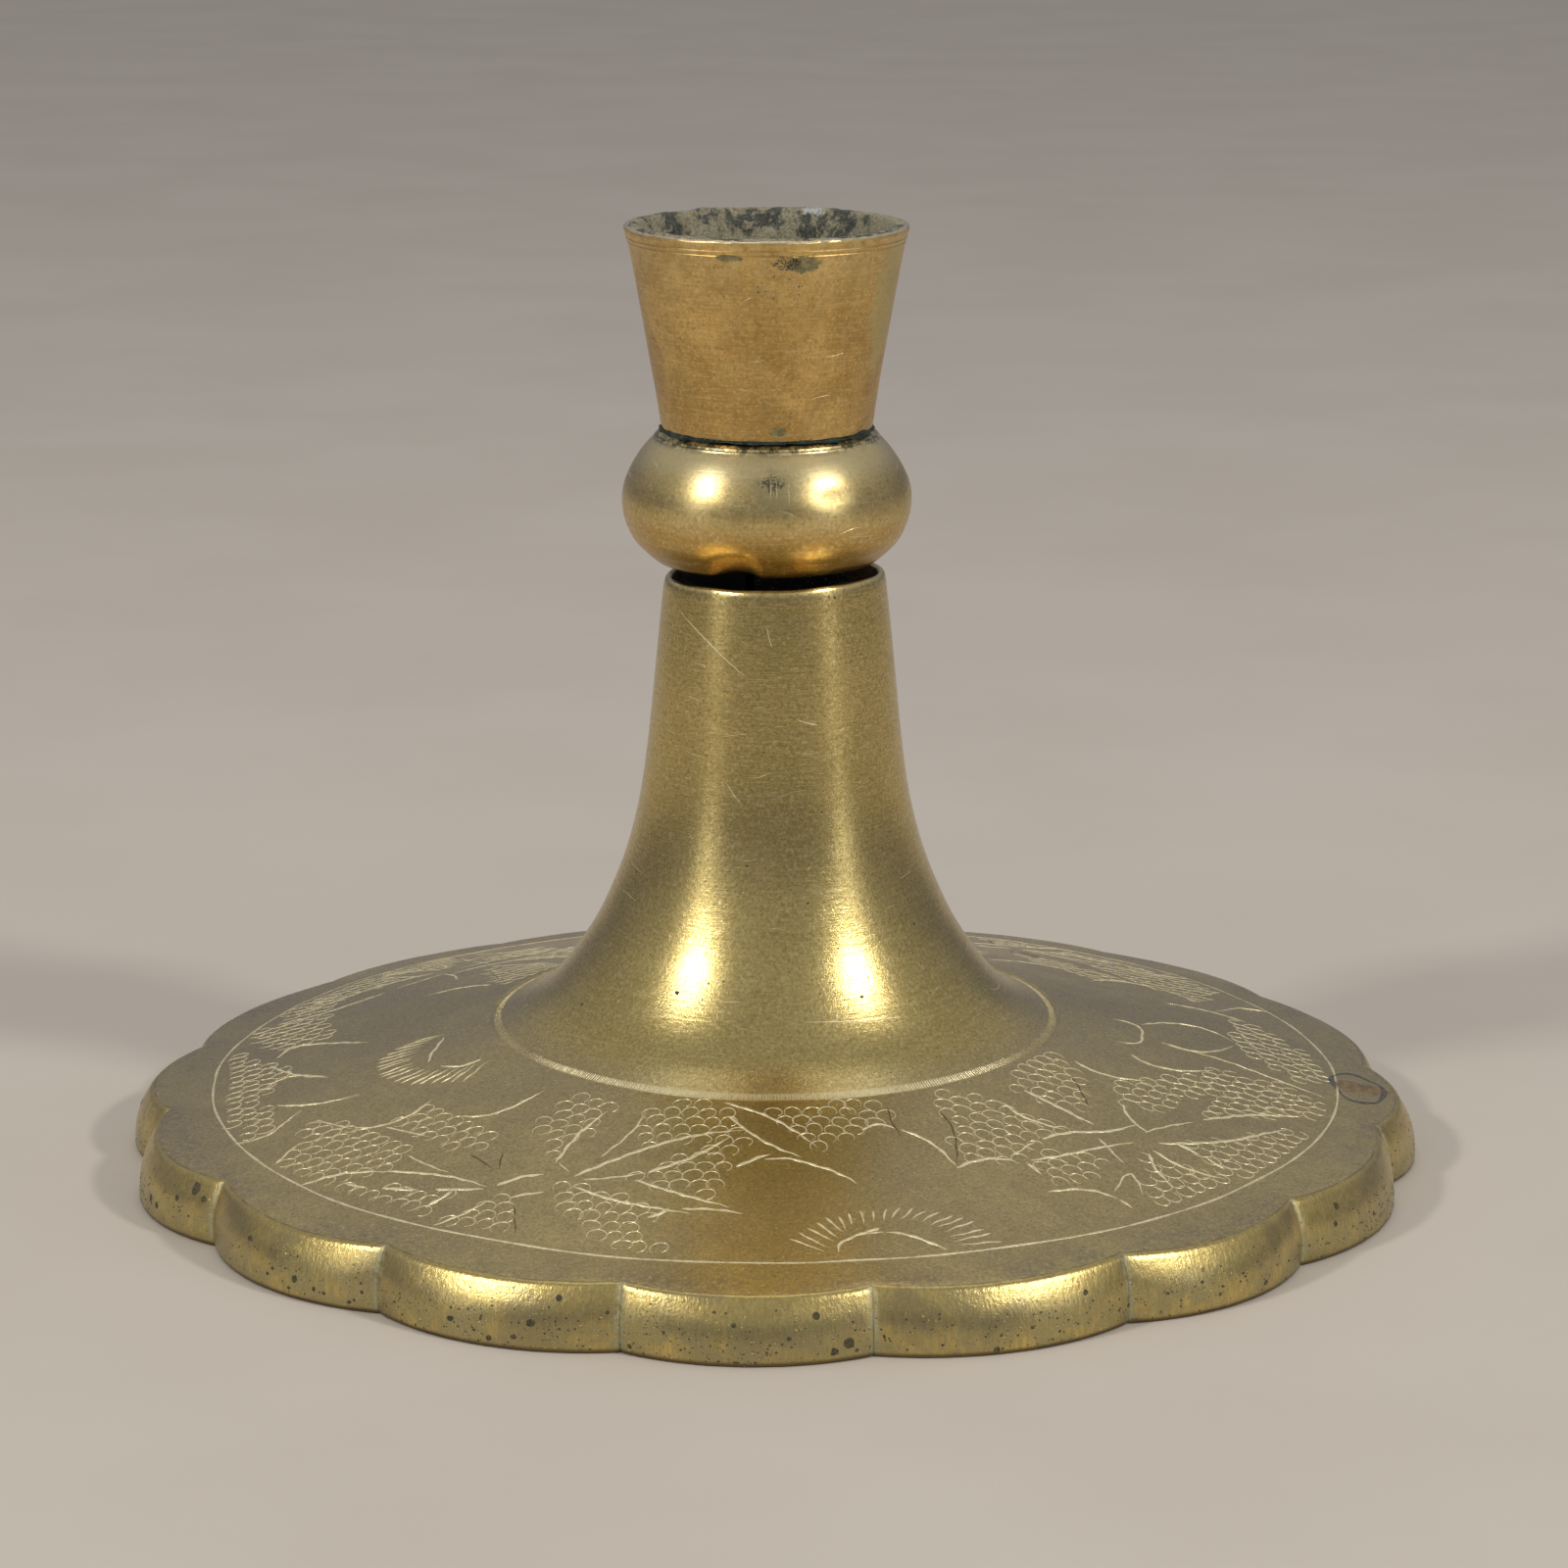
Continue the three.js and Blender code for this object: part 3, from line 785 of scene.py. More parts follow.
def foot_outline():
    """Outline of the foot and stem, counter-clockwise from the tread, with each point's region."""
    tread = [(FOOT_RADIUS - 0.45, 0.0), (FOOT_RADIUS - 0.12, 0.1), (FOOT_RADIUS - 0.02, 0.35)]
    wall = smooth_curve([(64.88, 0.6), (64.82, 1.6), (64.64, 2.8), (64.3, 3.95), (63.82, 4.95),
                         (63.24, 5.87)], 16)
    shoulder = [(63.08, 6.0), (62.88, 6.07)]
    border = straight([(62.6, 6.13), (RING_RADIUS, RING_Z)], 0.9)
    slope = straight([(RING_RADIUS, RING_Z), (28.95, FLARE_Z - 0.06)], 0.75)[1:]
    milled = [(28.85, FLARE_Z - 0.12), (28.7, FLARE_Z - 0.19), (28.5, FLARE_Z - 0.11),
              (27.95, FLARE_Z + 0.13), (27.8, FLARE_Z + 0.22)]
    flare = smooth_curve([(27.6, 14.02), (25.3, 15.25), (23.2, 16.85), (21.2, 19.1), (19.3, 21.8),
                          (17.85, 24.25), (16.65, 26.8), (15.4, 29.9), (14.35, 33.3), (13.6, 36.6),
                          (12.85, 41.6), (12.3, 46.6), (11.68, 52.8), (11.05, 58.5)], 96)
    lip = [(10.99, 58.8), (10.93, 59.02), (10.82, 59.2), (10.67, 59.34), (10.5, 59.4), (10.38, 59.38),
           (10.28, 59.28)]
    bore = straight([(10.2, 59.1), (MOUTH_BORE, 56.6), (MOUTH_BORE, MOUTH_Z - MOUTH_DEPTH)], 1.6)
    ledge_z = MOUTH_Z - MOUTH_DEPTH
    ledge = [(8.0, ledge_z), (LEDGE_BORE, ledge_z), (LEDGE_BORE, ledge_z - LEDGE)]
    hollow = smooth_curve([(9.6, 42.0), (11.0, 34.0), (14.2, 25.0), (19.4, 16.6), (27.6, 11.2)], 34)
    under = straight([(28.5, 10.95), (43.0, 7.6), (RING_RADIUS, 4.3)], 1.3)
    inner_wall = straight([(SHOULDER_RADIUS - FOOT_WALL, 3.4), (FOOT_RADIUS - FOOT_WALL, 0.0)], 1.2)
    parts = [(tread, "wall"), (wall, "wall"), (shoulder, "wall"), (border, "top"), (slope, "top"),
             (milled, "stem"), (flare, "stem"), (lip, "stem"), (bore, "inside"), (ledge, "inside"),
             (hollow, "inside"), (under, "inside"), (inner_wall, "inside")]
    points = np.vstack([np.array(part, float) for part, _ in parts])
    regions = [region for part, region in parts for _ in range(len(part))]
    return points, np.array(regions)


foot_points, foot_regions = foot_outline()


def shape_foot(radius, height, turn):
    """Scallops, hand-cut cusps, unevenness and the worn lip, on the grid of the turned form."""
    region = foot_regions[:, None]
    outside = (region != "inside")
    nominal = (np.degrees(turn) - LOBE_PHASE) / LOBE_PITCH
    lobe = np.floor(nominal + 1e-6).astype(int)
    share = np.clip(nominal - lobe, 0, 1)
    first = round((CUSP_DRIFT_START - LOBE_PHASE) / LOBE_PITCH)
    drift = np.array(CUSP_DRIFT)
    here, there = drift[(lobe - first) % LOBES], drift[(lobe + 1 - first) % LOBES]
    full_from = np.where(outside, 61.0, SHOULDER_RADIUS - FOOT_WALL)
    cut = np.clip((radius - RING_RADIUS) / (full_from - RING_RADIUS), 0, 1)
    cut = np.where(radius > RING_RADIUS, cut, 0)
    turn = turn + np.radians(here + (there - here) * share) * cut

    depth = CUSP_DEPTH + (CUSP_DEPTH_TOP - CUSP_DEPTH) * np.clip(height / SHOULDER_Z, 0, 1)
    from_cusp = np.minimum(share, 1 - share) * math.radians(LOBE_PITCH) * FOOT_RADIUS
    notch = CUSP_NOTCH * np.exp(-(from_cusp / 0.26) ** 2) * np.where(outside, 1, 0)
    fullness = 0.16 * np.sin(lobe * 2.7 + 0.6) * np.sin(math.pi * share)
    facets = 0.05 * np.sin(share * (19 + 4 * np.sin(lobe * 1.9)) + lobe * 2.1) * np.sin(math.pi * share)
    radius = radius - cut * (depth * lobe_profile(share) + notch)
    radius = radius - np.where(outside, cut * (np.abs(fullness) + np.abs(facets)), 0)
    swell = np.array(LOBE_SWELL)[(lobe - first) % LOBES] * np.sin(math.pi * share) ** 0.7
    radius = radius + cut * swell

    on_top = (region == "top")
    cone = RING_Z + (RING_RADIUS - radius) * CONE_SLOPE * BORDER_SLOPE
    height = np.where(on_top & (radius > RING_RADIUS - 0.01), cone, height)
    edge_lift = (cone - SHOULDER_Z) * fade(height, 3.0, SHOULDER_Z)
    beyond = (region == "wall") & (height > 3.0)
    height = np.where(beyond, height + edge_lift * 0.9, height)

    x, y = radius * np.cos(turn), radius * np.sin(turn)
    uneven = 0.075 * ripple(x, y) + 0.02 * dimple(x, y)
    hold = fade(height, 0.5, SHOULDER_Z) * fade(radius, 22.0, 30.0)
    height = height + np.where(outside, uneven * hold, 0)
    tread_free = fade(height, 0.4, 2.0) * fade(radius, 10.0, 12.0)
    height = height + np.where(outside, 0, 0.16 * casting(x, y) * tread_free)

    on_stem = (region == "stem") & (height > 14.5)
    hand = 0.035 * np.sin(2 * turn + height * 0.11) + 0.02 * np.sin(3 * turn - height * 0.23 + 1.0)
    radius = radius + np.where(on_stem, hand * fade(height, 14.5, 20.0), 0)
    worn = (0.24 * np.cos(turn) + 0.36 * np.maximum(0, -np.sin(turn)) + 0.05 * np.sin(5 * turn)
            + 0.03 * np.sin(11 * turn + 1))
    height = height + worn * fade(height, 57.2, 59.2) * np.where(radius < 12.5, 1, 0)
    return radius, height, turn


def make_foot():
    angles = foot_columns()
    points, faces = revolve(foot_points, angles, FOOT_AXIS, shape_foot)
    tones = {"top": (1, 0, 0), "wall": (0, 1, 0), "stem": (0, 0, 0), "inside": (0, 0, 1)}
    regions = np.repeat([tones[region] for region in foot_regions], len(angles), axis=0).astype(float)
    far = np.hypot(points[:, 0], points[:, 1])
    low_flare = (regions.sum(axis=1) == 0) & (points[:, 2] < 20)
    regions[low_flare, 0] = fade(far[low_flare], 24.0, 28.4)
    piece = add_piece("brass_foot", points, faces, foot_material("aged_brass_foot"), "stand",
                      crease=20, regions=regions)
    piece.data.materials.append(brushed(foot_material("aged_brass_stem"), 0.08))
    # Nearness to a cusp: it carries the verdigris in the cusps and the painted shade down their creases.
    crevice = np.where(foot_regions == "wall", 1.0, 0.0)[:, None] * foot_crevice()[None, :]
    cusp_verdigris_and_shade = piece.data.attributes.new("crevice", "FLOAT", "POINT")
    cusp_verdigris_and_shade.data.foreach_set("value", crevice.ravel())
    on_stem = np.repeat(foot_regions == "stem", len(angles))
    piece.data.polygons.foreach_set("material_index", on_stem.astype(np.int32))
    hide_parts("foot_and_stem")
    return BVHTree.FromPolygons(points.tolist(), faces)


foot_tree = make_foot()

# ---------------------------------------------------------------- knop

slit_turn = math.radians(SLIT_DIRECTION)


def shape_knop(radius, height, turn):
    """The edge lifted into a notch over the slit, a shallow dent, and slight unevenness."""
    apart = np.degrees(np.arctan2(np.sin(turn - slit_turn), np.cos(turn - slit_turn)))
    arch = fade(apart, *NOTCH_LEFT) * fade(apart, *NOTCH_RIGHT)
    lower = fade(height, 65.5, KNOP_EDGE_Z + 0.2) * fade(radius, SPIGOT_RADIUS + 0.2, 9.6)
    outer = height < 66
    raised = FRONT_RISE * np.maximum(0, -np.sin(turn))
    height = height + np.where(outer, (NOTCH_RISE * arch + raised) * lower, 0)
    direction = np.degrees(turn) % 360
    dents = sum(depth * np.exp(-((direction - aim) / spread) ** 2 - ((height - level) / half) ** 2)
                for aim, spread, level, half, depth in DENTS)
    radius = radius - np.where(radius > 11, dents, 0)
    belly = np.where(radius > 9.5, 1, 0)
    hand = 0.03 * np.sin(2 * turn + height * 0.5) + 0.02 * np.sin(5 * turn - height * 0.8)
    return radius + hand * belly, height, turn


def knop_outline():
    edge = [(SPIGOT_RADIUS, KNOP_EDGE_Z), (8.9, KNOP_EDGE_Z - 0.02), (9.7, KNOP_EDGE_Z - 0.05),
            (10.4, KNOP_EDGE_Z - 0.03), (10.72, KNOP_EDGE_Z + 0.06)]
    belly = smooth_curve([(10.95, 60.9), (11.6, 61.4), (12.3, 62.05), (13.15, 63.0), (13.75, 64.2),
                          (14.15, 65.5), (14.31, 66.9), (14.15, 68.4), (13.62, 69.8), (12.9, 71.1),
                          (12.1, 72.2), (11.35, 73.0)], 46)
    neck = [(11.2, 73.12), (11.15, 73.3), (11.0, 73.36), (10.9, 73.55), (10.7, 73.62), (10.5, 73.8),
            (10.2, 73.88)]
    crown = [(10.0, KNOP_TOP_Z), (TENON_RADIUS + 0.3, KNOP_TOP_Z), (TENON_RADIUS + 0.3, KNOP_TOP_Z - 2)]
    hollow = smooth_curve([(9.3, 71.9), (12.3, 66.9), (10.0, 63.0), (SPIGOT_BORE, 61.3)], 16)
    spigot_in = straight([(SPIGOT_BORE, 60.0), (SPIGOT_BORE, SPIGOT_END_Z + 0.2)], 1.2)
    spigot_out = straight([(SPIGOT_BORE + 0.3, SPIGOT_END_Z), (SPIGOT_RADIUS - 0.2, SPIGOT_END_Z),
                           (SPIGOT_RADIUS, SPIGOT_END_Z + 0.25), (SPIGOT_RADIUS, KNOP_EDGE_Z - 0.35)], 0.7)
    return np.vstack([edge, belly, neck, crown, hollow, spigot_in, spigot_out])


def cut_slit(piece):
    """Saws the slit through the spigot and the knop's edge."""
    reach = (SPIGOT_RADIUS + 3.2) * MM
    low, high = SPIGOT_END_Z - 1.0, KNOP_EDGE_Z + 0.25
    half = SLIT_WIDTH / 2 * MM
    corners = [(x, side * half, z * MM) for x in (0.004, reach) for side in (-1, 1) for z in (low, high)]
    turned = [(x * math.cos(slit_turn) - y * math.sin(slit_turn) + UPPER_AXIS[0] * MM,
               x * math.sin(slit_turn) + y * math.cos(slit_turn) + UPPER_AXIS[1] * MM, z)
              for x, y, z in corners]
    quads = [(0, 1, 3, 2), (4, 6, 7, 5), (0, 4, 5, 1), (2, 3, 7, 6), (0, 2, 6, 4), (1, 5, 7, 3)]
    blade_mesh = bpy.data.meshes.new("saw_blade")
    blade_mesh.from_pydata(turned, [], quads)
    blade = bpy.data.objects.new("saw_blade", blade_mesh)
    bpy.context.scene.collection.objects.link(blade)
    cut = piece.modifiers.new("slit", "BOOLEAN")
    cut.operation = "DIFFERENCE"
    cut.solver = "EXACT"
    cut.object = blade
    bpy.context.view_layer.update()
    shaped = bpy.data.meshes.new_from_object(piece.evaluated_get(bpy.context.evaluated_depsgraph_get()))
    piece.modifiers.remove(cut)
    piece.data = shaped
    bpy.data.objects.remove(blade)
    shaped.set_sharp_from_angle(angle=math.radians(CREASE))


def make_knop():
    angles = np.arange(240) * 1.5
    points, faces = revolve(knop_outline(), angles, UPPER_AXIS, shape_knop)
    piece = add_piece("brass_knop", points, faces, knop_material(), "upper_section")
    cut_slit(piece)
    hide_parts("knop")
    return BVHTree.FromPolygons(points.tolist(), faces)


knop_tree = make_knop()

# ---------------------------------------------------------------- candle cup and what has stuck to it


def shape_cup(radius, height, turn):
    hand = 0.03 * np.sin(2 * turn + height * 0.2) + 0.015 * np.sin(7 * turn - height * 0.4)
    wear = 0.05 * np.sin(9 * turn + 1) + 0.035 * np.sin(23 * turn) + 0.03 * np.sin(41 * turn + 2)
    radius = radius + np.where(radius > 9.5, hand, 0)
    near_top = fade(height, CUP_TOP_Z - 0.4, CUP_TOP_Z)
    return radius - 0.5 * wear * near_top, height - np.abs(wear) * near_top, turn


def cup_outline():
    tenon = [(0, TENON_END_Z), (TENON_RADIUS - 0.3, TENON_END_Z), (TENON_RADIUS, TENON_END_Z + 0.3),
             (TENON_RADIUS, CUP_SEAT_Z)]
    foot = [(8.0, CUP_SEAT_Z), (10.2, CUP_SEAT_Z), (10.38, CUP_SEAT_Z + 0.06), (10.44, CUP_SEAT_Z + 0.3)]
    wall = smooth_curve([(10.5, 74.8), (10.94, 77.65), (11.58, 81.3), (12.24, 85.0), (12.88, 88.6),
                         (13.45, 91.6), (13.58, 92.2)], 44)
    lines = [(13.62, 92.4), (13.66, 92.5), (13.62, 92.58), (13.71, 92.66), (13.77, 92.86), (13.8, 92.98),
             (13.77, 93.06), (13.86, 93.15), (13.93, 93.5)]
    lip = [(13.99, 93.75), (13.97, 93.92), (13.86, 94.04), (13.66, CUP_TOP_Z), (13.2, CUP_TOP_Z - 0.01),
           (12.8, CUP_TOP_Z - 0.04), (CUP_RIM_BORE, CUP_TOP_Z - 0.2)]
    bore = straight([(12.42, 93.5), (SOCKET_FLOOR_RADIUS, SOCKET_FLOOR_Z)], 1.4)
    return np.vstack([tenon, foot, wall, lines, lip, bore, [(0, SOCKET_FLOOR_Z)]])


def shape_crust(radius, height, turn):
    """Lumps on the inner side of the lining, drawn out down the wall."""
    lumps = (0.5 * np.sin(7 * turn + 0.5 * np.sin(height * 0.5)) + 0.4 * np.sin(17 * turn + height * 0.35 + 2)
             + 0.35 * np.sin(31 * turn - height * 0.6) + 0.3 * np.sin(53 * turn + height * 1.1 + 1)
             + 0.35 * np.sin(height * 1.7 + 3 * np.sin(5 * turn)) + 0.25 * np.sin(height * 3.3 + 9 * turn))
    bore = SOCKET_FLOOR_RADIUS + (CUP_RIM_BORE - SOCKET_FLOOR_RADIUS) * (height - SOCKET_FLOOR_Z) / 16.9
    facing_in = fade(bore - radius, 0.0, 0.18) * fade(height, SOCKET_FLOOR_Z + 0.3, SOCKET_FLOOR_Z + 1.5)
    top = fade(height, CUP_TOP_Z - 0.2, CUP_TOP_Z - 1.6)
    radius = radius - facing_in * (0.24 + 0.22 * lumps) * (0.3 + 0.7 * top)
    ragged = 0.5 * np.sin(6 * turn + 2) + 0.5 * np.sin(15 * turn) + 0.4 * np.sin(38 * turn + 1)
    on_rim = (height > CUP_TOP_Z - 0.1) & (radius > 12.5)
    radius = radius - np.where(on_rim, 0.10 + 0.09 * ragged, 0)
    height = height + np.where(on_rim & (height > CUP_TOP_Z), 0.07 * lumps, 0)
    floor = (height < SOCKET_FLOOR_Z + 0.5) & (height > SOCKET_FLOOR_Z)
    height = height + np.where(floor, 0.05 * np.sin(radius * 1.3 + 3 * turn), 0)
    return radius, height, turn


def crust_outline():
    hidden = straight([(0, SOCKET_FLOOR_Z - 0.15), (SOCKET_FLOOR_RADIUS + 0.1, SOCKET_FLOOR_Z - 0.1),
                       (CUP_RIM_BORE + 0.1, CUP_TOP_Z - 0.5), (13.4, CUP_TOP_Z - 0.16)], 1.4)
    over = [(13.62, CUP_TOP_Z - 0.05), (13.5, CUP_TOP_Z + 0.03), (13.2, CUP_TOP_Z + 0.07),
            (12.9, CUP_TOP_Z + 0.05), (12.62, CUP_TOP_Z - 0.03), (12.42, CUP_TOP_Z - 0.22),
            (12.3, CUP_TOP_Z - 0.5)]
    inner = straight([(12.22, CUP_TOP_Z - 0.8), (SOCKET_FLOOR_RADIUS - 0.15, SOCKET_FLOOR_Z + 0.5),
                      (SOCKET_FLOOR_RADIUS - 0.6, SOCKET_FLOOR_Z + 0.12), (0, SOCKET_FLOOR_Z + 0.1)], 0.32)
    return np.vstack([hidden, over, inner])


clots = waves(15, 3.2, 9)
grit = waves(16, 1.2, 9)


def shape_bead(radius, height, turn):
    """An uneven line of verdigris, heaviest at the left and right."""
    lumps = clots(radius * np.cos(turn), radius * np.sin(turn)) + 0.6 * grit(10 * np.cos(turn), height * 3)
    ends = np.abs(np.cos(turn)) ** 3
    swell = (0.40 + 0.62 * ends) * (1 + 0.45 * lumps)
    away, rise = (radius - BEAD_RADIUS) * swell, (height - BEAD_Z) * swell
    return BEAD_RADIUS - 0.26 * ends + away, BEAD_Z - 0.14 * ends + rise, turn


def make_cup():
    angles = np.arange(288) * 1.25
    points, faces = revolve(cup_outline(), angles, UPPER_AXIS, shape_cup)
    cup = add_piece("brass_cup", points, faces, cup_material(), "upper_section")
    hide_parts("candle_cup")
    tree = BVHTree.FromPolygons(points.tolist(), faces)
    points, faces = revolve(crust_outline(), angles, UPPER_AXIS, shape_crust)
    add_piece("cup_lining", points, faces, crust_material(), "upper_section", crease=60)
    loop = [(BEAD_RADIUS + 0.42 * math.cos(a), BEAD_Z + 0.40 * math.sin(a))
            for a in np.linspace(-math.pi, math.pi, 11)[:-1]]
    points, faces = revolve(loop, angles, UPPER_AXIS, shape_bead)
    add_piece("seat_verdigris", points, faces, verdigris_material(), "upper_section", crease=60)
    return tree


cup_tree = make_cup()

# ---------------------------------------------------------------- engraving

BOLD, MEDIUM, FINE, HAIR = 0.50, 0.36, 0.25, 0.17

# Strokes of the leaf sprays: weight, then (x, y) of the places that the graver passed.
LEFT_SPRAY = (
    (BOLD, (-18.8, -40.7), (-12.5, -36.9), (-5.5, -34.4), (-3.0, -34.2)),
    (BOLD, (-11.9, -41.0), (-8.0, -38.9), (-4.3, -35.4)),
    (FINE, (-17.9, -41.6), (-14.5, -41.5), (-12.0, -41.1)),
    (MEDIUM, (-13.0, -42.3), (-9.8, -44.5), (-4.2, -47.7)),
    (MEDIUM, (-18.7, -42.7), (-15.0, -45.5), (-11.0, -47.3), (-7.9, -48.4)),
    (MEDIUM, (-8.6, -47.6), (-5.5, -48.0), (-3.0, -48.8)),
    (BOLD, (-11.7, -48.9), (-10.6, -48.2), (-9.7, -47.4)),
    (FINE, (-16.4, -37.6), (-14.4, -34.8), (-12.8, -31.5), (-12.4, -30.0)),
    (MEDIUM, (-20.6, -37.9), (-18.5, -32.8), (-16.1, -29.2)),
    (HAIR, (-20.3, -38.0), (-19.9, -38.9), (-19.3, -39.8)),
    (BOLD, (-26.0, -41.0), (-23.5, -39.9), (-21.6, -39.9)),
    (MEDIUM, (-24.6, -43.5), (-23.0, -43.2), (-21.5, -43.1)),
    (BOLD, (-31.8, -40.2), (-29.5, -40.8), (-27.2, -41.3)),
    (BOLD, (-37.0, -38.2), (-35.2, -39.1), (-33.4, -39.8)),
    (MEDIUM, (-36.8, -35.1), (-32.5, -37.0), (-29.8, -38.6), (-26.9, -41.0)),
    (FINE, (-35.0, -32.5), (-33.0, -35.0), (-30.8, -37.2)),
    (FINE, (-31.6, -47.0), (-28.0, -44.9), (-26.8, -43.7)),
    (MEDIUM, (-4.5, -31.4), (-2.5, -34.5), (0.0, -37.3), (2.5, -39.2)),
    (MEDIUM, (-4.8, -29.0), (-1.0, -31.5), (2.3, -35.0), (3.9, -37.3)),
    (BOLD, (-3.6, -40.8), (-2.0, -39.5), (-0.5, -38.6)),
    (MEDIUM, (-1.0, -39.6), (1.0, -39.4), (3.2, -40.3), (5.5, -41.6), (7.8, -43.8)),
)
LEFT_SPRAY_SHADOWS = (
    (HAIR, (-28.9, -34.3), (-27.7, -36.0), (-26.6, -37.6)),
    (HAIR, (-25.8, -35.0), (-25.9, -36.5), (-26.0, -38.0)),
    (HAIR, (-24.2, -44.9), (-24.0, -47.6), (-23.8, -50.3)),
    (HAIR, (10.8, -29.2), (10.9, -31.0), (11.9, -34.5)),
    (HAIR, (15.6, -29.0), (16.7, -31.5), (17.1, -34.8), (17.1, -39.0)),
    (HAIR, (29.0, -17.0), (29.7, -20.0), (30.5, -24.5)),
)
RIGHT_SPRAY = (
    (MEDIUM, (8.2, -33.8), (10.2, -32.6), (11.5, -33.3)),
    (MEDIUM, (11.9, -33.3), (14.3, -34.9), (16.0, -37.2), (17.0, -39.3)),
    (BOLD, (17.0, -39.5), (19.0, -37.8), (21.0, -37.0), (22.6, -37.1)),
    (FINE, (22.3, -36.3), (23.6, -34.4), (24.9, -32.6)),
    (BOLD, (25.4, -32.2), (28.5, -30.0), (31.5, -28.9), (34.8, -26.3)),
    (MEDIUM, (24.1, -36.6), (28.0, -34.4), (31.5, -32.0), (34.3, -30.2)),
    (FINE, (30.9, -30.4), (31.9, -32.6), (33.0, -34.9)),
    (MEDIUM, (22.0, -26.0), (23.5, -28.0), (27.8, -29.8)),
    (MEDIUM, (23.7, -37.1), (24.3, -38.0), (25.0, -39.0)),
    (MEDIUM, (25.4, -42.2), (27.5, -41.2), (30.5, -41.1), (32.0, -41.9)),
    (FINE, (32.1, -41.9), (32.7, -42.6), (33.2, -43.3)),
    (FINE, (31.8, -40.5), (33.5, -36.8), (34.5, -40.6)),
    (MEDIUM, (36.1, -31.2), (38.0, -33.3), (40.3, -34.4), (42.7, -34.9)),
    (MEDIUM, (35.7, -32.0), (35.9, -34.5), (37.2, -37.6)),
    (FINE, (35.5, -27.7), (38.0, -25.3), (40.7, -23.0)),
    (BOLD, (41.6, -21.9), (44.7, -19.6), (47.6, -17.6), (50.0, -16.6), (52.2, -15.4)),
    (BOLD, (36.8, -29.6), (40.3, -28.2), (44.5, -25.5), (47.7, -22.4), (50.0, -20.2)),
    (MEDIUM, (38.6, -29.1), (39.7, -29.9), (40.7, -30.7)),
    (MEDIUM, (41.2, -31.0), (42.0, -31.9), (42.8, -32.7)),
    (MEDIUM, (33.8, -22.0), (34.3, -25.0), (35.8, -27.6)),
    (BOLD, (24.2, -22.6), (27.5, -25.2), (30.6, -27.7)),
)
RIGHT_EDGE = (
    (MEDIUM, (35.6, -8.0), (36.9, -9.6), (39.2, -10.1), (44.1, -7.4)),
    (MEDIUM, (29.6, -13.4), (31.3, -14.9), (33.6, -15.5), (36.5, -14.8)),
    (FINE, (39.1, -1.9), (42.1, -2.8), (45.4, -3.6), (49.1, -5.6), (52.7, -7.5), (55.1, -8.8)),
    (FINE, (37.6, 3.2), (40.5, 6.1), (44.0, 7.2), (47.1, 4.3)),
    (FINE, (39.8, -2.5), (42.2, -2.7), (44.7, -1.0), (46.9, 2.4)),
    (MEDIUM, (34.7, 3.1), (36.8, 2.5), (37.3, -0.8), (36.1, -4.4), (34.4, -4.8)),
)
LEFT_EDGE = (
    (MEDIUM, (-49.3, -14.4), (-46.5, -15.8), (-44.5, -16.2), (-41.0, -15.9)),
    (MEDIUM, (-40.7, -24.1), (-39.3, -24.7), (-37.0, -24.5), (-35.0, -23.2), (-33.5, -20.9)),
    (MEDIUM, (-30.2, -26.1), (-28.2, -26.8), (-26.5, -26.5), (-24.5, -25.2), (-22.5, -23.5)),
    (FINE, (-44.8, -20.5), (-42.5, -22.8), (-41.0, -24.2)),
    (FINE, (-37.6, -25.4), (-35.3, -27.4), (-33.0, -29.4)),
    (FINE, (-47.9, -29.2), (-47.0, -27.3), (-46.0, -25.3)),
    (MEDIUM, (-45.0, -35.0), (-41.5, -34.0), (-38.0, -34.7), (-36.8, -35.1)),
    (MEDIUM, (-40.5, -36.3), (-39.5, -37.0), (-38.5, -37.7)),
    (MEDIUM, (-30.2, -41.0), (-31.4, -42.2), (-32.6, -43.4)),
    (MEDIUM, (-50.9, 1.4), (-49.4, 4.2), (-45.6, 2.8), (-41.4, -0.1)),
    (MEDIUM, (-51.3, -1.0), (-47.1, -7.1), (-44.5, -9.1)),
    (FINE, (-51.1, -8.4), (-49.5, -6.3), (-45.0, -8.5)),
    (FINE, (-52.5, -22.5), (-49.5, -21.8), (-47.9, -19.3), (-46.5, -17.0)),
)

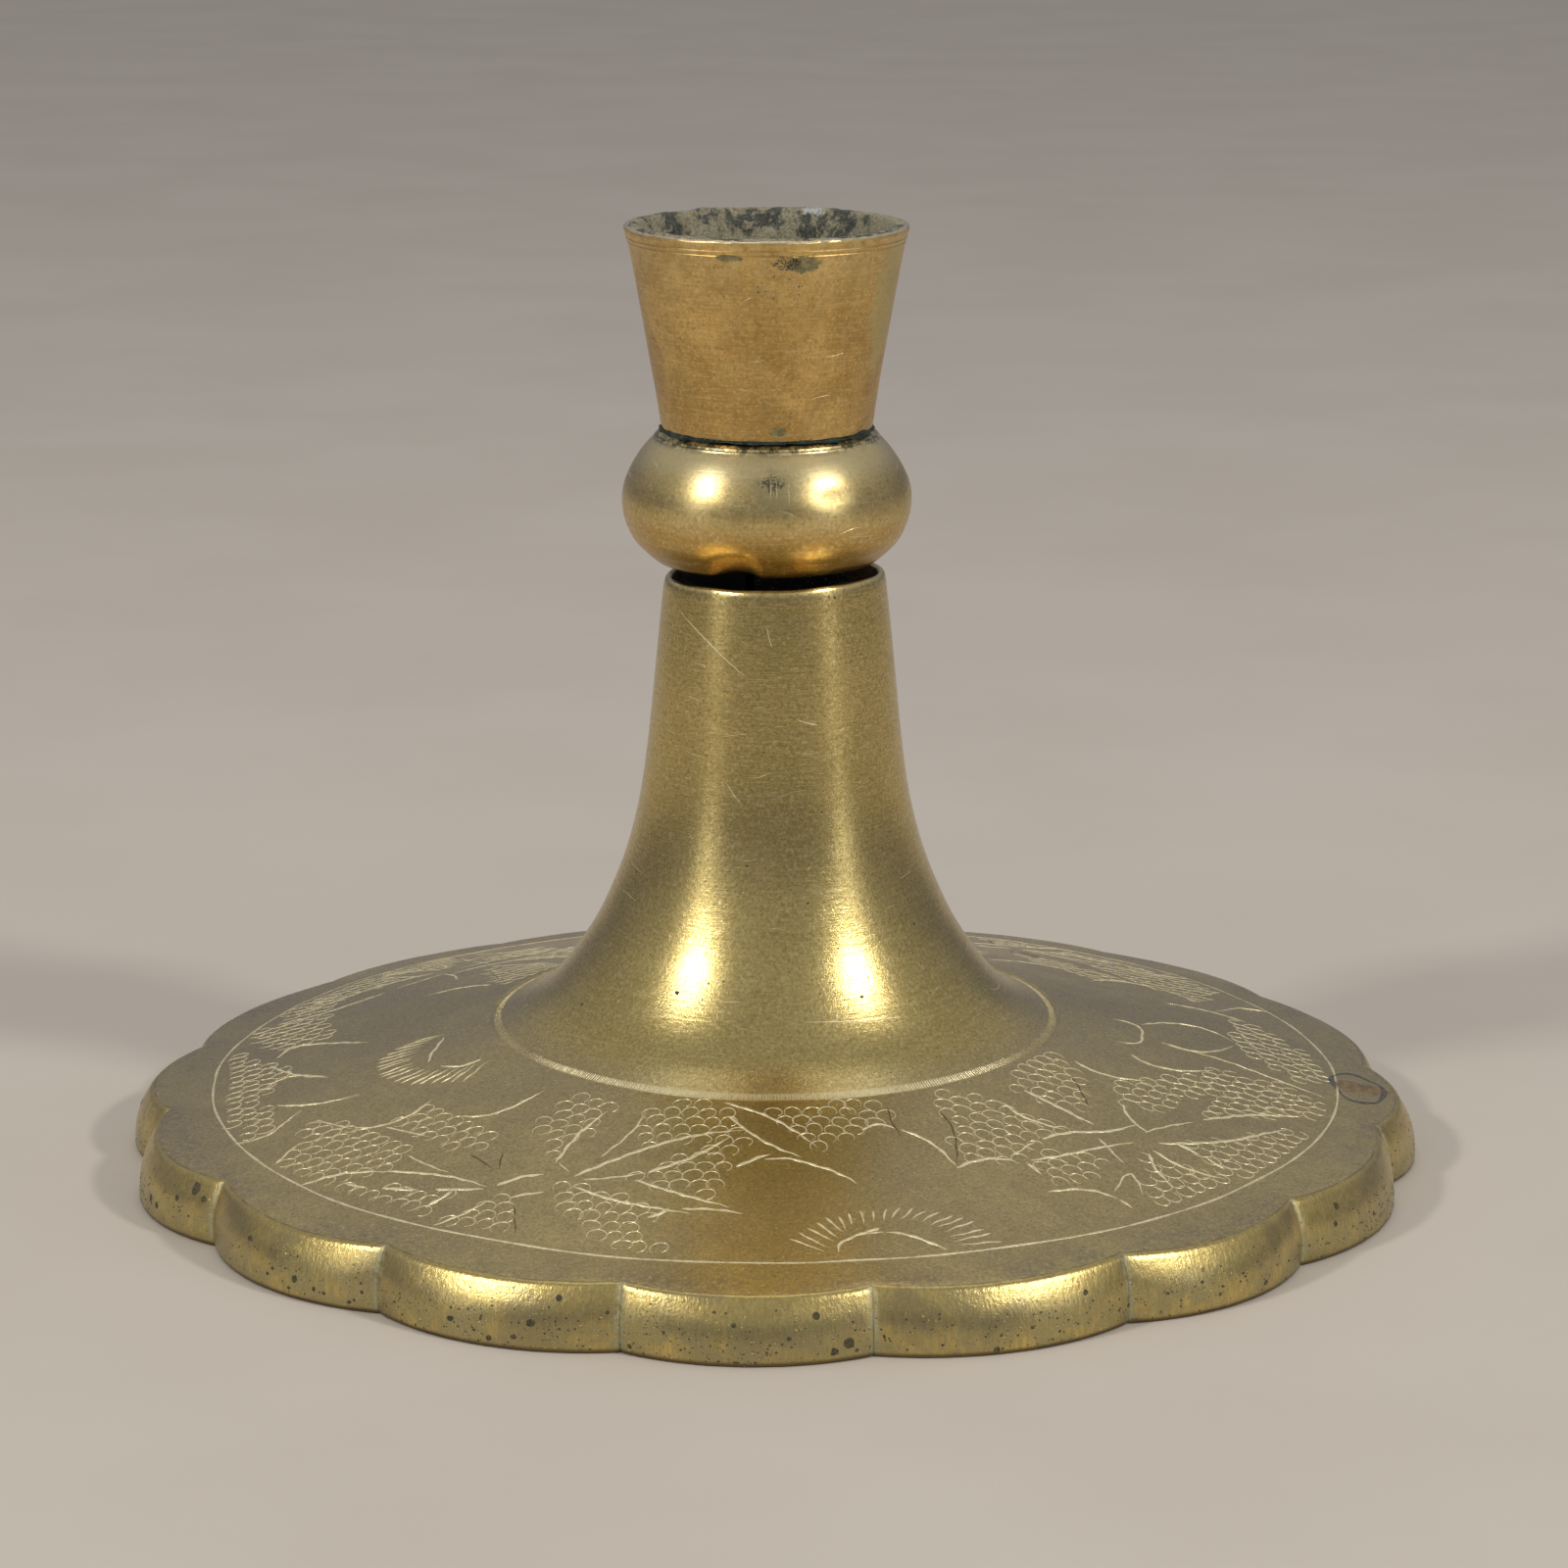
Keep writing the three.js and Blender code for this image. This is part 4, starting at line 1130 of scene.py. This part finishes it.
# Areas filled with fish-scale cuts: 1 where the domes point to the stem and -1 where they point away
# from it, then the corners.
SCALE_FIELDS = (
    (1, (-31.5, -47.0), (-27.0, -43.9), (-24.6, -43.5), (-24.0, -50.5)),
    (1, (-20.0, -42.3), (-18.5, -42.8), (-12.0, -47.6), (-12.4, -50.5), (-10.4, -54.6), (-13.5, -54.8),
     (-20.2, -45.5)),
    (1, (-13.0, -42.0), (-4.2, -35.4), (-2.8, -36.0), (-5.0, -41.0), (-5.3, -45.0), (-9.5, -44.3)),
    (1, (-12.2, -29.2), (-6.0, -29.2), (-5.0, -31.5), (-3.0, -34.0), (-13.0, -37.0)),
    (1, (-19.5, -26.5), (-16.3, -26.5), (-15.9, -29.0), (-21.0, -37.0), (-22.3, -31.0)),
    (1, (-2.5, -29.3), (10.2, -28.6), (10.5, -32.0), (7.0, -34.5), (4.7, -37.2), (2.0, -34.5),
     (-1.0, -31.0)),
    (1, (16.5, -26.0), (22.0, -26.5), (27.5, -30.0), (25.0, -32.5), (22.5, -36.5), (18.0, -38.5),
     (17.2, -34.0)),
    (1, (25.5, -36.0), (30.0, -33.5), (31.0, -37.0), (28.5, -40.2), (25.8, -40.5)),
    (-1, (35.5, -33.0), (38.0, -34.0), (43.2, -35.3), (40.0, -39.4), (36.5, -42.3), (35.0, -38.0)),
    (-1, (52.5, -20.0), (50.0, -20.3), (46.0, -24.5), (39.0, -29.0), (43.0, -32.8), (44.3, -33.8),
     (48.5, -28.5)),
    (1, (44.3, -8.0), (49.8, -8.0), (53.3, -9.9), (55.1, -10.8), (53.3, -14.8), (47.9, -17.3),
     (43.0, -20.1), (43.3, -13.9)),
    (1, (33.4, -19.1), (34.0, -16.5), (36.4, -15.2), (40.0, -11.3), (43.5, -9.2), (42.7, -13.0),
     (39.4, -18.4), (36.8, -23.0), (35.0, -21.6)),
    (1, (48.2, 15.2), (50.9, 12.3), (53.3, 7.5), (55.6, 1.4), (56.0, -3.0), (53.4, -4.8), (50.5, -1.1),
     (47.8, 1.4), (47.7, 7.5)),
    (1, (24.0, -17.0), (27.0, -12.5), (29.0, -15.5), (30.0, -20.0), (30.5, -25.5), (26.5, -24.5),
     (24.0, -22.0)),
    (1, (-57.0, 2.6), (-56.0, 7.0), (-53.2, 1.8), (-50.9, -1.0), (-48.4, -6.2), (-50.6, -7.5),
     (-51.4, -9.8), (-50.7, -13.8), (-48.4, -17.8), (-50.9, -21.9), (-52.8, -21.9), (-55.0, -17.2),
     (-56.8, -11.8)),
    (1, (-56.0, 13.8), (-55.0, 18.6), (-53.5, 22.5), (-51.9, 29.6), (-49.0, 30.0), (-47.2, 24.5),
     (-48.0, 14.9), (-45.7, 7.6), (-47.0, 4.9), (-49.4, 4.6), (-52.2, 7.6)),
    (1, (-45.0, -20.5), (-41.0, -24.5), (-38.0, -28.0), (-35.0, -32.0), (-37.0, -34.8), (-43.0, -35.0),
     (-47.5, -30.0), (-46.0, -25.5)),
    (1, (-37.5, -25.0), (-33.0, -22.8), (-29.0, -28.0), (-27.0, -33.5), (-29.0, -34.0), (-33.0, -29.5)),
    (1, (-44.0, -35.5), (-36.0, -39.0), (-31.0, -41.0), (-33.5, -45.2), (-39.0, -41.0)),
)
SCALE_WIDTH = 1.76
SCALE_ROW = 1.58
SCALE_LINE = 0.195
FIELD_MARGIN = 0.6                # scales run this far past the edge of their area
SCALES_FROM = 29.6                # but stay this far from the axis, and clear of the ring
RING_CLEARANCE = 0.9
STROKE_STEP = 0.32
BEHIND_THE_STEM = 9.5             # how far back a repeated stroke has to lie

# Suns: the arc, then the curves on which the rays' inner and outer ends lie, and their number.
FRONT_SUN = {
    "arcs": (((5.7, -55.2), (5.8, -54.2), (6.5, -53.1), (8.1, -52.0), (9.9, -51.7)),
             ((10.1, -51.6), (12.0, -51.9), (13.3, -52.5), (15.6, -54.1)),
             ((8.1, -51.8), (8.8, -51.5), (9.5, -51.1))),
    "inner": ((4.3, -55.0), (5.8, -53.1), (7.0, -50.9), (9.3, -49.9), (12.0, -49.3), (14.4, -50.2),
              (16.0, -51.7), (16.6, -53.3)),
    "outer": ((1.4, -53.0), (3.0, -50.9), (5.4, -49.3), (8.4, -48.0), (11.6, -47.5), (14.9, -47.7),
              (17.7, -48.6), (19.4, -50.3), (20.5, -51.8)),
    "rays": 20}
SIDE_SUN = {
    "arcs": (((-33.2, -12.5), (-31.8, -13.5), (-30.4, -13.7), (-29.1, -12.9)),
             ((-33.4, -4.2), (-33.7, -6.0), (-34.3, -8.5), (-34.5, -11.0))),
    "inner": ((-33.5, -3.1), (-35.2, -5.2), (-36.1, -7.6), (-36.1, -10.0), (-35.0, -12.2), (-33.0, -13.7),
              (-31.0, -14.2), (-28.5, -13.9)),
    "outer": ((-36.6, -3.4), (-38.9, -5.4), (-39.8, -7.6), (-39.8, -9.8), (-39.0, -12.4), (-37.2, -14.8),
              (-34.5, -16.7), (-30.6, -17.9)),
    "rays": 19}


def turned_about(point, degrees):
    turn = math.radians(degrees)
    return (point[0] * math.cos(turn) - point[1] * math.sin(turn),
            point[0] * math.sin(turn) + point[1] * math.cos(turn))


def inside_polygon(x, y, corners):
    inside = False
    for (ax, ay), (bx, by) in zip(corners, corners[1:] + corners[:1]):
        if (ay > y) != (by > y) and x < (bx - ax) * (y - ay) / (by - ay) + ax:
            inside = not inside
    return inside


def cut_stroke(marks, weight, path, draw, taper=(0.12, 0.3)):
    """One stroke of the graver: pushed in, carried on in small steps, and let out."""
    length = sum(math.dist(a, b) for a, b in zip(path, path[1:]))
    count = max(6, round(length / STROKE_STEP))
    phase = draw.uniform(0, 6.3)
    step = draw.uniform(1.3, 1.9)
    hits = []
    for i, (x, y) in enumerate(smooth_curve(path, count)):
        share = i / (count - 1)
        here = share * length
        hit = marks.drop(x + 0.05 * math.sin(here * 2.3 + phase), y + 0.05 * math.cos(here * 2.9 + phase))
        edge = min(1, (share + 0.02) / taper[0], (1 - share + 0.02) / taper[1])
        beat = 1 + 0.22 * math.sin(2 * math.pi * here / step + phase)
        hits.append((*hit, weight * beat * edge ** 0.7))
    marks.ribbon(hits, Marks.CUT)


def cut_scales(marks, corners, facing, draw):
    """Rows of small arcs over one area, each row shifted half a scale."""
    middle = (sum(x for x, _ in corners) / len(corners), sum(y for _, y in corners) / len(corners))
    away = math.hypot(*middle)
    dome = (-middle[0] / away * facing, -middle[1] / away * facing)
    row_way = (-dome[1], dome[0])
    skew = draw.uniform(-0.12, 0.12)
    reach = max(math.dist(middle, corner) for corner in corners) + 2
    rows = int(reach / SCALE_ROW) + 1
    for row in range(-rows, rows + 1):
        shift = 0.5 * (row % 2) + draw.uniform(-0.1, 0.1)
        for column in range(-rows, rows + 1):
            u = (column + shift) * SCALE_WIDTH
            v = row * SCALE_ROW + skew * u
            x = middle[0] + row_way[0] * u + dome[0] * v
            y = middle[1] + row_way[1] * u + dome[1] * v
            back_in = FIELD_MARGIN / max(math.dist((x, y), middle), FIELD_MARGIN)
            if not inside_polygon(x + (middle[0] - x) * back_in, y + (middle[1] - y) * back_in, corners):
                continue
            if not SCALES_FROM < math.hypot(x, y) < RING_RADIUS - RING_CLEARANCE:
                continue
            cut_scale(marks, (x, y), row_way, dome, draw)


def cut_scale(marks, centre, row_way, dome, draw):
    half = SCALE_WIDTH / 2 * draw.uniform(0.86, 1.12)
    rise = SCALE_ROW / 2 * draw.uniform(0.95, 1.3)
    start = math.radians(draw.uniform(-75, -22))
    end = math.radians(draw.uniform(202, 258))
    lean = draw.uniform(-0.2, 0.2)
    x0 = centre[0] + draw.uniform(-0.17, 0.17)
    y0 = centre[1] + draw.uniform(-0.17, 0.17)
    weight = SCALE_LINE * draw.uniform(0.8, 1.3)
    hits = []
    for share in np.linspace(0, 1, 13):
        turn = start + (end - start) * share
        u = half * math.cos(turn)
        v = rise * math.sin(turn) + lean * u
        x = x0 + row_way[0] * u + dome[0] * v
        y = y0 + row_way[1] * u + dome[1] * v
        hits.append((*marks.drop(x, y), weight * (0.55 + 0.5 * math.sin(math.pi * share))))
    if all(place is not None for place, _, _ in hits):
        marks.ribbon(hits, Marks.RIDGE)


def cut_sun(marks, sun, draw, turn_by):
    for arc in sun["arcs"]:
        cut_stroke(marks, MEDIUM, [turned_about(point, turn_by) for point in arc], draw, taper=(0.2, 0.2))
    inner = smooth_curve(sun["inner"], sun["rays"])
    outer = smooth_curve(sun["outer"], sun["rays"])
    for near, far in zip(inner, outer):
        near = near + np.array([draw.uniform(-0.2, 0.2), draw.uniform(-0.25, 0.2)])
        far = far + np.array([draw.uniform(-0.15, 0.15), draw.uniform(-0.25, 0.25)])
        ray = [turned_about(point, turn_by) for point in (far, (near + far) / 2, near)]
        cut_stroke(marks, FINE * draw.uniform(0.75, 1.2), ray, draw, taper=(0.15, 0.6))


def front_and_back(path):
    """The path, and the same half a turn round if that lies wholly behind the stem."""
    moved = [turned_about(point, 180) for point in path]
    return (path, moved) if min(y for _, y in moved) > BEHIND_THE_STEM else (path,)


def make_engraving():
    bright = cut_material("bright_cut_brass", (1.0, 0.91, 0.60), (0.70, 0.58, 0.30), 0.45)
    dim = cut_material("worn_cut_brass", (0.95, 0.86, 0.56), (0.62, 0.51, 0.27), 0.5)
    rolled = cut_material("rolled_brass", (1.0, 0.89, 0.56), (0.60, 0.49, 0.25), 0.55)
    # Dirt and painted shade: the dark lines cut beside the leaf sprays.
    dark = cut_material("dirt_and_shade_cut_brass", (0.20, 0.16, 0.08), (0.10, 0.08, 0.04), 0.7)
    leaves, shadows, front, back, suns, ring, milling = (Marks(foot_tree) for _ in range(7))

    draw = random.Random(41)
    for marks, strokes in ((leaves, LEFT_SPRAY + RIGHT_SPRAY + RIGHT_EDGE + LEFT_EDGE),
                           (shadows, LEFT_SPRAY_SHADOWS)):
        for weight, *path in strokes:
            for copy in front_and_back(path):
                cut_stroke(marks, weight, copy, draw)
    for facing, *corners in SCALE_FIELDS:
        for marks, copy in zip((front, back), front_and_back(corners)):
            cut_scales(marks, copy, facing, draw)
    for sun, turn_by in ((FRONT_SUN, 0), (SIDE_SUN, 0), (FRONT_SUN, 180)):
        cut_sun(suns, sun, draw, turn_by)
    outer_ring(ring, draw)
    milled_ring(milling, draw)

    for marks, name, material in (
            (leaves, "engraved_leaves", bright), (shadows, "engraved_shadows", dark),
            (front, "engraved_scales_front", dim), (back, "engraved_scales_back", dim),
            (suns, "engraved_suns", bright), (ring, "engraved_ring", dim), (milling, "milled_ring", rolled)):
        marks.build(name, material, "stand", "foot_brass")


def outer_ring(marks, draw):
    """The scribed line inside the scallops, in runs that overlap a little."""
    runs, overlap = 12, 1.2
    for run in range(runs):
        start = run * 360 / runs - overlap
        end = (run + 1) * 360 / runs + overlap
        drift = draw.uniform(-0.07, 0.07)
        hits = []
        for share in np.linspace(0, 1, 61):
            turn = math.radians(start + (end - start) * share)
            reach = RING_RADIUS + drift + 0.03 * math.sin(turn * 23)
            width = 0.30 * (1 + 0.2 * math.sin(turn * 47)) * min(1, 0.3 + 9 * share, 9.3 - 9 * share)
            hits.append((*marks.drop(reach * math.cos(turn), reach * math.sin(turn)), width))
        marks.ribbon(hits, Marks.CUT)


def milled_ring(marks, draw):
    """Short radial ticks rolled into the step at the bottom of the flare."""
    ticks = 620
    for tick in range(ticks):
        turn = math.radians(360 * (tick + draw.uniform(-0.12, 0.12)) / ticks)
        kept = 0.25 + 0.75 * fade(-math.sin(turn), 0.45, 0.85)  # rubbed down except at the front
        weight = 0.18 * draw.uniform(0.8, 1.15) * kept
        hits = [(*marks.drop(reach * math.cos(turn), reach * math.sin(turn)), weight * share)
                for reach, share in ((27.75, 0.7), (27.98, 1), (28.22, 1), (28.5, 0.7))]
        marks.ribbon(hits, Marks.RIDGE, 1.1 * kept)


make_engraving()

# ---------------------------------------------------------------- scratches, corrosion and repair

# Scratches on each piece: weight, then (direction in degrees, height) of places along the line.
STEM_SCRATCHES = (
    (0.20, (-146.6, 56.9), (-123.0, 54.2), (-113.0, 52.7), (-104.3, 51.4)),
    (0.19, (-79.2, 47.1), (-74.5, 46.75), (-70.0, 46.5)),
    (0.16, (-82.5, 19.1), (-69.4, 18.9), (-55.2, 18.65)),
    (0.13, (-105.3, 20.65), (-102.5, 20.7), (-99.8, 20.75)),
    (0.12, (-94.0, 56.2), (-92.5, 54.9), (-91.4, 54.2)),
    (0.10, (-61.0, 55.0), (-60.2, 53.2), (-59.8, 52.4)),
    (0.12, (-112.0, 41.0), (-107.5, 39.6), (-104.5, 38.9)),
    (0.08, (60.0, 50.0), (74.0, 47.0), (83.0, 44.8)),
    (0.10, (130.0, 30.0), (118.0, 27.5), (109.0, 26.6)),
    (0.08, (175.0, 52.0), (168.0, 49.6), (162.0, 48.8)),
)
CUP_SCRATCHES = (
    (0.08, (-104.4, 79.5), (-101.5, 79.4), (-98.7, 79.35)),
    (0.07, (-61.0, 83.0), (-60.2, 82.6), (-59.8, 82.3)),
    (0.08, (40.0, 88.0), (47.0, 86.5), (52.0, 85.9)),
    (0.07, (120.0, 82.0), (127.0, 81.4), (133.0, 81.1)),
)
KNOP_SCRATCHES = (
    (0.07, (-128.0, 71.2), (-119.0, 69.9), (-111.0, 69.0)),
    (0.06, (-88.5, 71.4), (-88.3, 70.2), (-88.4, 69.1)),
    (0.06, (-85.6, 71.0), (-85.9, 70.0), (-85.7, 69.2)),
    (0.06, (-80.6, 70.6), (-81.0, 69.6), (-80.9, 68.6)),
    (0.07, (35.0, 69.0), (44.0, 68.2), (52.0, 67.9)),
)

# Corrosion on the side wall: direction in degrees, height, half width.
WALL_SPOTS = (
    (-107.9, 4.98, 0.46), (-110.0, 2.66, 0.5), (-113.5, 0.9, 0.34), (-111.4, 1.3, 0.36),
    (-117.1, 2.1, 0.4), (-103.9, 3.86, 0.25), (-88.9, 2.6, 0.26), (-84.0, 1.75, 0.62),
    (-85.2, 1.1, 0.5), (-86.7, 4.4, 0.4), (-72.1, 0.5, 0.36), (-63.7, 4.3, 0.34),
    (-45.0, 1.2, 0.42), (-32.4, 4.7, 0.5), (-33.1, 3.2, 0.34), (-26.8, 2.3, 0.26),
    (-151.9, 5.1, 0.72), (-158.7, 2.1, 0.42), (-157.3, 1.9, 0.5), (-154.0, 3.6, 0.42),
    (-150.6, 4.4, 0.42), (-140.2, 4.0, 0.44), (-136.4, 2.3, 0.26), (-137.0, 1.65, 0.26),
    (-134.3, 1.0, 0.26), (-133.7, 2.0, 0.45), (-131.6, 1.5, 0.26), (-130.6, 1.3, 0.26),
    (-128.2, 0.9, 0.26), (-93.3, 3.8, 0.3), (-59.0, 1.9, 0.26), (-102.0, 0.9, 0.26),
    (-94.9, 4.8, 0.22), (-69.0, 2.2, 0.24), (-66.5, 1.4, 0.2), (-55.6, 2.6, 0.24),
    (-52.3, 3.1, 0.22), (-50.6, 1.6, 0.26), (-47.8, 2.9, 0.2), (-41.0, 2.0, 0.24),
)
STEM_SPOTS = ((-119.0, 21.0, 0.28), (-64.9, 20.8, 0.24), (-101.0, 33.0, 0.16), (-78.0, 29.5, 0.15),
              (-70.0, 38.0, 0.14), (-95.0, 44.0, 0.12), (-58.0, 58.75, 0.17), (-61.5, 58.9, 0.13),
              (-150.0, 18.0, 0.22), (-36.0, 26.0, 0.18), (75.0, 24.0, 0.25), (100.0, 40.0, 0.2))
SPECK_SIZES = (0.06, 0.07, 0.08, 0.10, 0.12, 0.15)
SPOT_RISE = 0.03                  # how proud of the metal a corrosion spot or the solder stands
REPAIR_CENTRE = (59.0, -3.5)
REPAIR_HALF = (2.6, 4.6)


def scratch(marks, axis, weight, path):
    line = smooth_curve(path, max(8, round(math.dist(path[0], path[-1]) / 1.1)))
    hits = []
    for i, (angle, height) in enumerate(line):
        swell = math.sin(math.pi * i / (len(line) - 1))
        hits.append((*marks.reach(axis, angle, height), weight * (0.25 + 0.75 * max(swell, 0) ** 0.6)))
    marks.ribbon(hits, Marks.CUT, relief=0.45)


def make_scratches():
    material = cut_material("scratched_brass", (0.92, 0.83, 0.56), (0.70, 0.58, 0.32), 0.7)
    # The last three values are for the fine random ones: lowest and highest place, and how many.
    sets = (
        ("stem_scratches", foot_tree, FOOT_AXIS, STEM_SCRATCHES, "stand", "foot_brass", 17.0, 57.0, 90),
        ("cup_scratches", cup_tree, UPPER_AXIS, CUP_SCRATCHES, "upper_section", "cup_brass", 76.0, 91.0, 12),
        ("knop_scratches", knop_tree, UPPER_AXIS, KNOP_SCRATCHES, "upper_section", "knop_brass", 63.5, 72.0,
         26))
    draw = random.Random(29)
    for name, tree, axis, strokes, body, slot, low, high, count in sets:
        marks = Marks(tree)
        for weight, *path in strokes:
            scratch(marks, axis, weight, path)
        for _ in range(count):
            angle, height = draw.uniform(0, 360), draw.uniform(low, high)
            run, climb = draw.uniform(6, 15), draw.uniform(-0.9, 0.9)
            bow = draw.uniform(-0.25, 0.25)
            path = ((angle, height), (angle + run / 2, height + climb / 2 + bow),
                    (angle + run, height + climb))
            scratch(marks, axis, draw.uniform(0.045, 0.075), path)
        marks.build(name, material, body, slot)


def make_corrosion():
    material = grainy_material("corrosion_spots", (4.0, 4), (0.35, 0.68),
                               ((0.03, 0.025, 0.014), (0.19, 0.155, 0.07)), (0.0, 0.4), (0.45, 0.8), 0.12)
    draw = random.Random(77)
    marks = Marks(foot_tree)
    spots = list(WALL_SPOTS)
    for _ in range(300):
        middle, level = draw.uniform(0, 360), draw.uniform(0.6, 3.6)
        for _ in range(draw.randint(3, 9)):
            height = min(5.0, max(0.5, draw.gauss(level, 0.9)))
            spots.append((draw.gauss(middle, 1.6), height, draw.choice(SPECK_SIZES)))
    for _ in range(26):
        spots.append((draw.uniform(0, 180), draw.uniform(0.9, 4.8), draw.uniform(0.22, 0.48)))
    for angle, height, half in spots + list(STEM_SPOTS):
        place, normal = marks.reach(FOOT_AXIS, angle, height)
        if place is not None:
            tall = half * draw.uniform(0.7, 1.1)
            marks.blister(place, normal, half, tall, SPOT_RISE, draw, 10 if half < 0.2 else 14)
    marks.build("corrosion_spots", material, "stand", "foot_brass")


def make_repair():
    """An old soldered spot on one lobe: a dark outline round a brown middle."""
    draw = random.Random(5)
    outline, fill = Marks(foot_tree), Marks(foot_tree)
    hits = []
    for degrees in range(0, 361, 5):
        turn = math.radians(degrees)
        swell = 1 + 0.05 * math.sin(3 * turn + 1) + 0.04 * math.sin(5 * turn)
        x = REPAIR_CENTRE[0] + REPAIR_HALF[0] * swell * math.cos(turn)
        y = REPAIR_CENTRE[1] + REPAIR_HALF[1] * swell * math.sin(turn)
        hits.append((*outline.drop(x, y), 0.62 * (1 + 0.35 * math.sin(turn * 4 + 2))))
    outline.ribbon(hits, Marks.CUT)
    dark = grainy_material("repair_outline", (1.6, 4), (0.35, 0.65),
                           ((0.055, 0.06, 0.07), (0.16, 0.14, 0.11)), (0.35, 0.35), (0.35, 0.6), 0.1)
    outline.build("repair_outline", dark, "stand", "foot_brass")

    place, normal = fill.drop(*REPAIR_CENTRE)
    fill.blister(place, normal, REPAIR_HALF[1] * 0.82, REPAIR_HALF[0] * 0.82, SPOT_RISE, draw, 28)
    brown = grainy_material("repair_middle", (1.1, 5), (0.38, 0.62),
                            ((0.30, 0.19, 0.085), (0.50, 0.35, 0.15)), (0.85, 0.85), (0.3, 0.5), 0.06)
    fill.build("repair_middle", brown, "stand", "foot_brass")


make_scratches()
make_corrosion()
make_repair()

# ---------------------------------------------------------------- floor, light and camera


FLOOR_HALF = 3000
WARM, WHITE = (1.0, 0.98, 0.95), (1.0, 1.0, 1.0)
LIGHT_TARGET = Vector((0, 0, 35))
LIGHT_DISTANCE = 900.0
# Area lights: degrees left (negative) or right of the camera, degrees up, width, height, watts, colour.
LIGHTS = {
    "key_left": (-57, 36.5, 95, 80, 2.15, WARM),
    "key_right": (57, 37, 95, 80, 2.35, WARM),
    "strip_left": (-57, 12.5, 130, 290, 0.20, WHITE),
    "strip_right": (57, 12.5, 120, 290, 0.21, WHITE),
    "overhead": (180, 70, 500, 360, 0.5, WHITE)}
CAMERA_PLACE = Vector((0, -462.7, 150.9))
CAMERA_LENS = 108.9
SENSOR_WIDTH = 36.0
PITCH_DOWN, YAW_RIGHT = 13.74, 0.112
LOW_SKY, HIGH_SKY = (0.15, 0.155, 0.20, 1), (0.36, 0.36, 0.375, 1)
SKY_RISE = 0.5                    # the sky is at its lightest from here up


def make_floor():
    corners = [(x * FLOOR_HALF * MM, y * FLOOR_HALF * MM, 0) for x, y in ((-1, -1), (1, -1), (1, 1), (-1, 1))]
    mesh = bpy.data.meshes.new("floor")
    mesh.from_pydata(corners, [], [(0, 1, 2, 3)])
    floor = bpy.data.objects.new("floor", mesh)
    bpy.context.scene.collection.objects.link(floor)
    s = Shader("pale_floor")
    tone = s.between(s.noise(0.02, 3, 0.5), 0.3, 0.7, (0.66, 0.59, 0.50), (0.69, 0.62, 0.53))
    mesh.materials.append(s.finish(tone, 0.0, 0.8))


def make_light(name, azimuth, elevation, width, height, power, colour):
    """A softbox aimed at the stem."""
    turn, rise = math.radians(azimuth), math.radians(elevation)
    away = Vector((math.sin(turn) * math.cos(rise), -math.cos(turn) * math.cos(rise), math.sin(rise)))
    light = bpy.data.lights.new(name, "AREA")
    light.shape = "RECTANGLE"
    light.size, light.size_y = width * MM, height * MM
    light.energy = power
    light.color = colour
    lamp = bpy.data.objects.new(name, light)
    lamp.location = (LIGHT_TARGET + away * LIGHT_DISTANCE) * MM
    lamp.rotation_euler = away.to_track_quat("Z", "Y").to_euler()
    bpy.context.scene.collection.objects.link(lamp)


def make_camera():
    data = bpy.data.cameras.new("camera")
    data.sensor_width = SENSOR_WIDTH
    data.lens = CAMERA_LENS
    data.clip_end = 20
    camera = bpy.data.objects.new("camera", data)
    camera.location = CAMERA_PLACE * MM
    camera.rotation_euler = (math.radians(90 - PITCH_DOWN), 0, math.radians(-YAW_RIGHT))
    bpy.context.scene.collection.objects.link(camera)
    bpy.context.scene.camera = camera


def make_world():
    world = bpy.data.worlds.new("studio")
    world.use_nodes = True
    tree = world.node_tree
    direction = tree.nodes.new("ShaderNodeTexCoord").outputs["Generated"]
    parts = tree.nodes.new("ShaderNodeSeparateXYZ")
    tree.links.new(direction, parts.inputs[0])
    rise = tree.nodes.new("ShaderNodeMapRange")
    rise.interpolation_type = "SMOOTHSTEP"
    rise.inputs["From Max"].default_value = SKY_RISE
    tree.links.new(parts.outputs["Z"], rise.inputs["Value"])
    shade = tree.nodes.new("ShaderNodeMix")
    shade.data_type = "RGBA"
    shade.inputs[6].default_value = LOW_SKY
    shade.inputs[7].default_value = HIGH_SKY
    tree.links.new(rise.outputs[0], shade.inputs[0])
    tree.links.new(shade.outputs[2], tree.nodes["Background"].inputs["Color"])
    bpy.context.scene.world = world


make_floor()
make_world()
for light_name, settings in LIGHTS.items():
    make_light(light_name, *settings)
make_camera()
bpy.context.scene.view_settings.view_transform = "Standard"
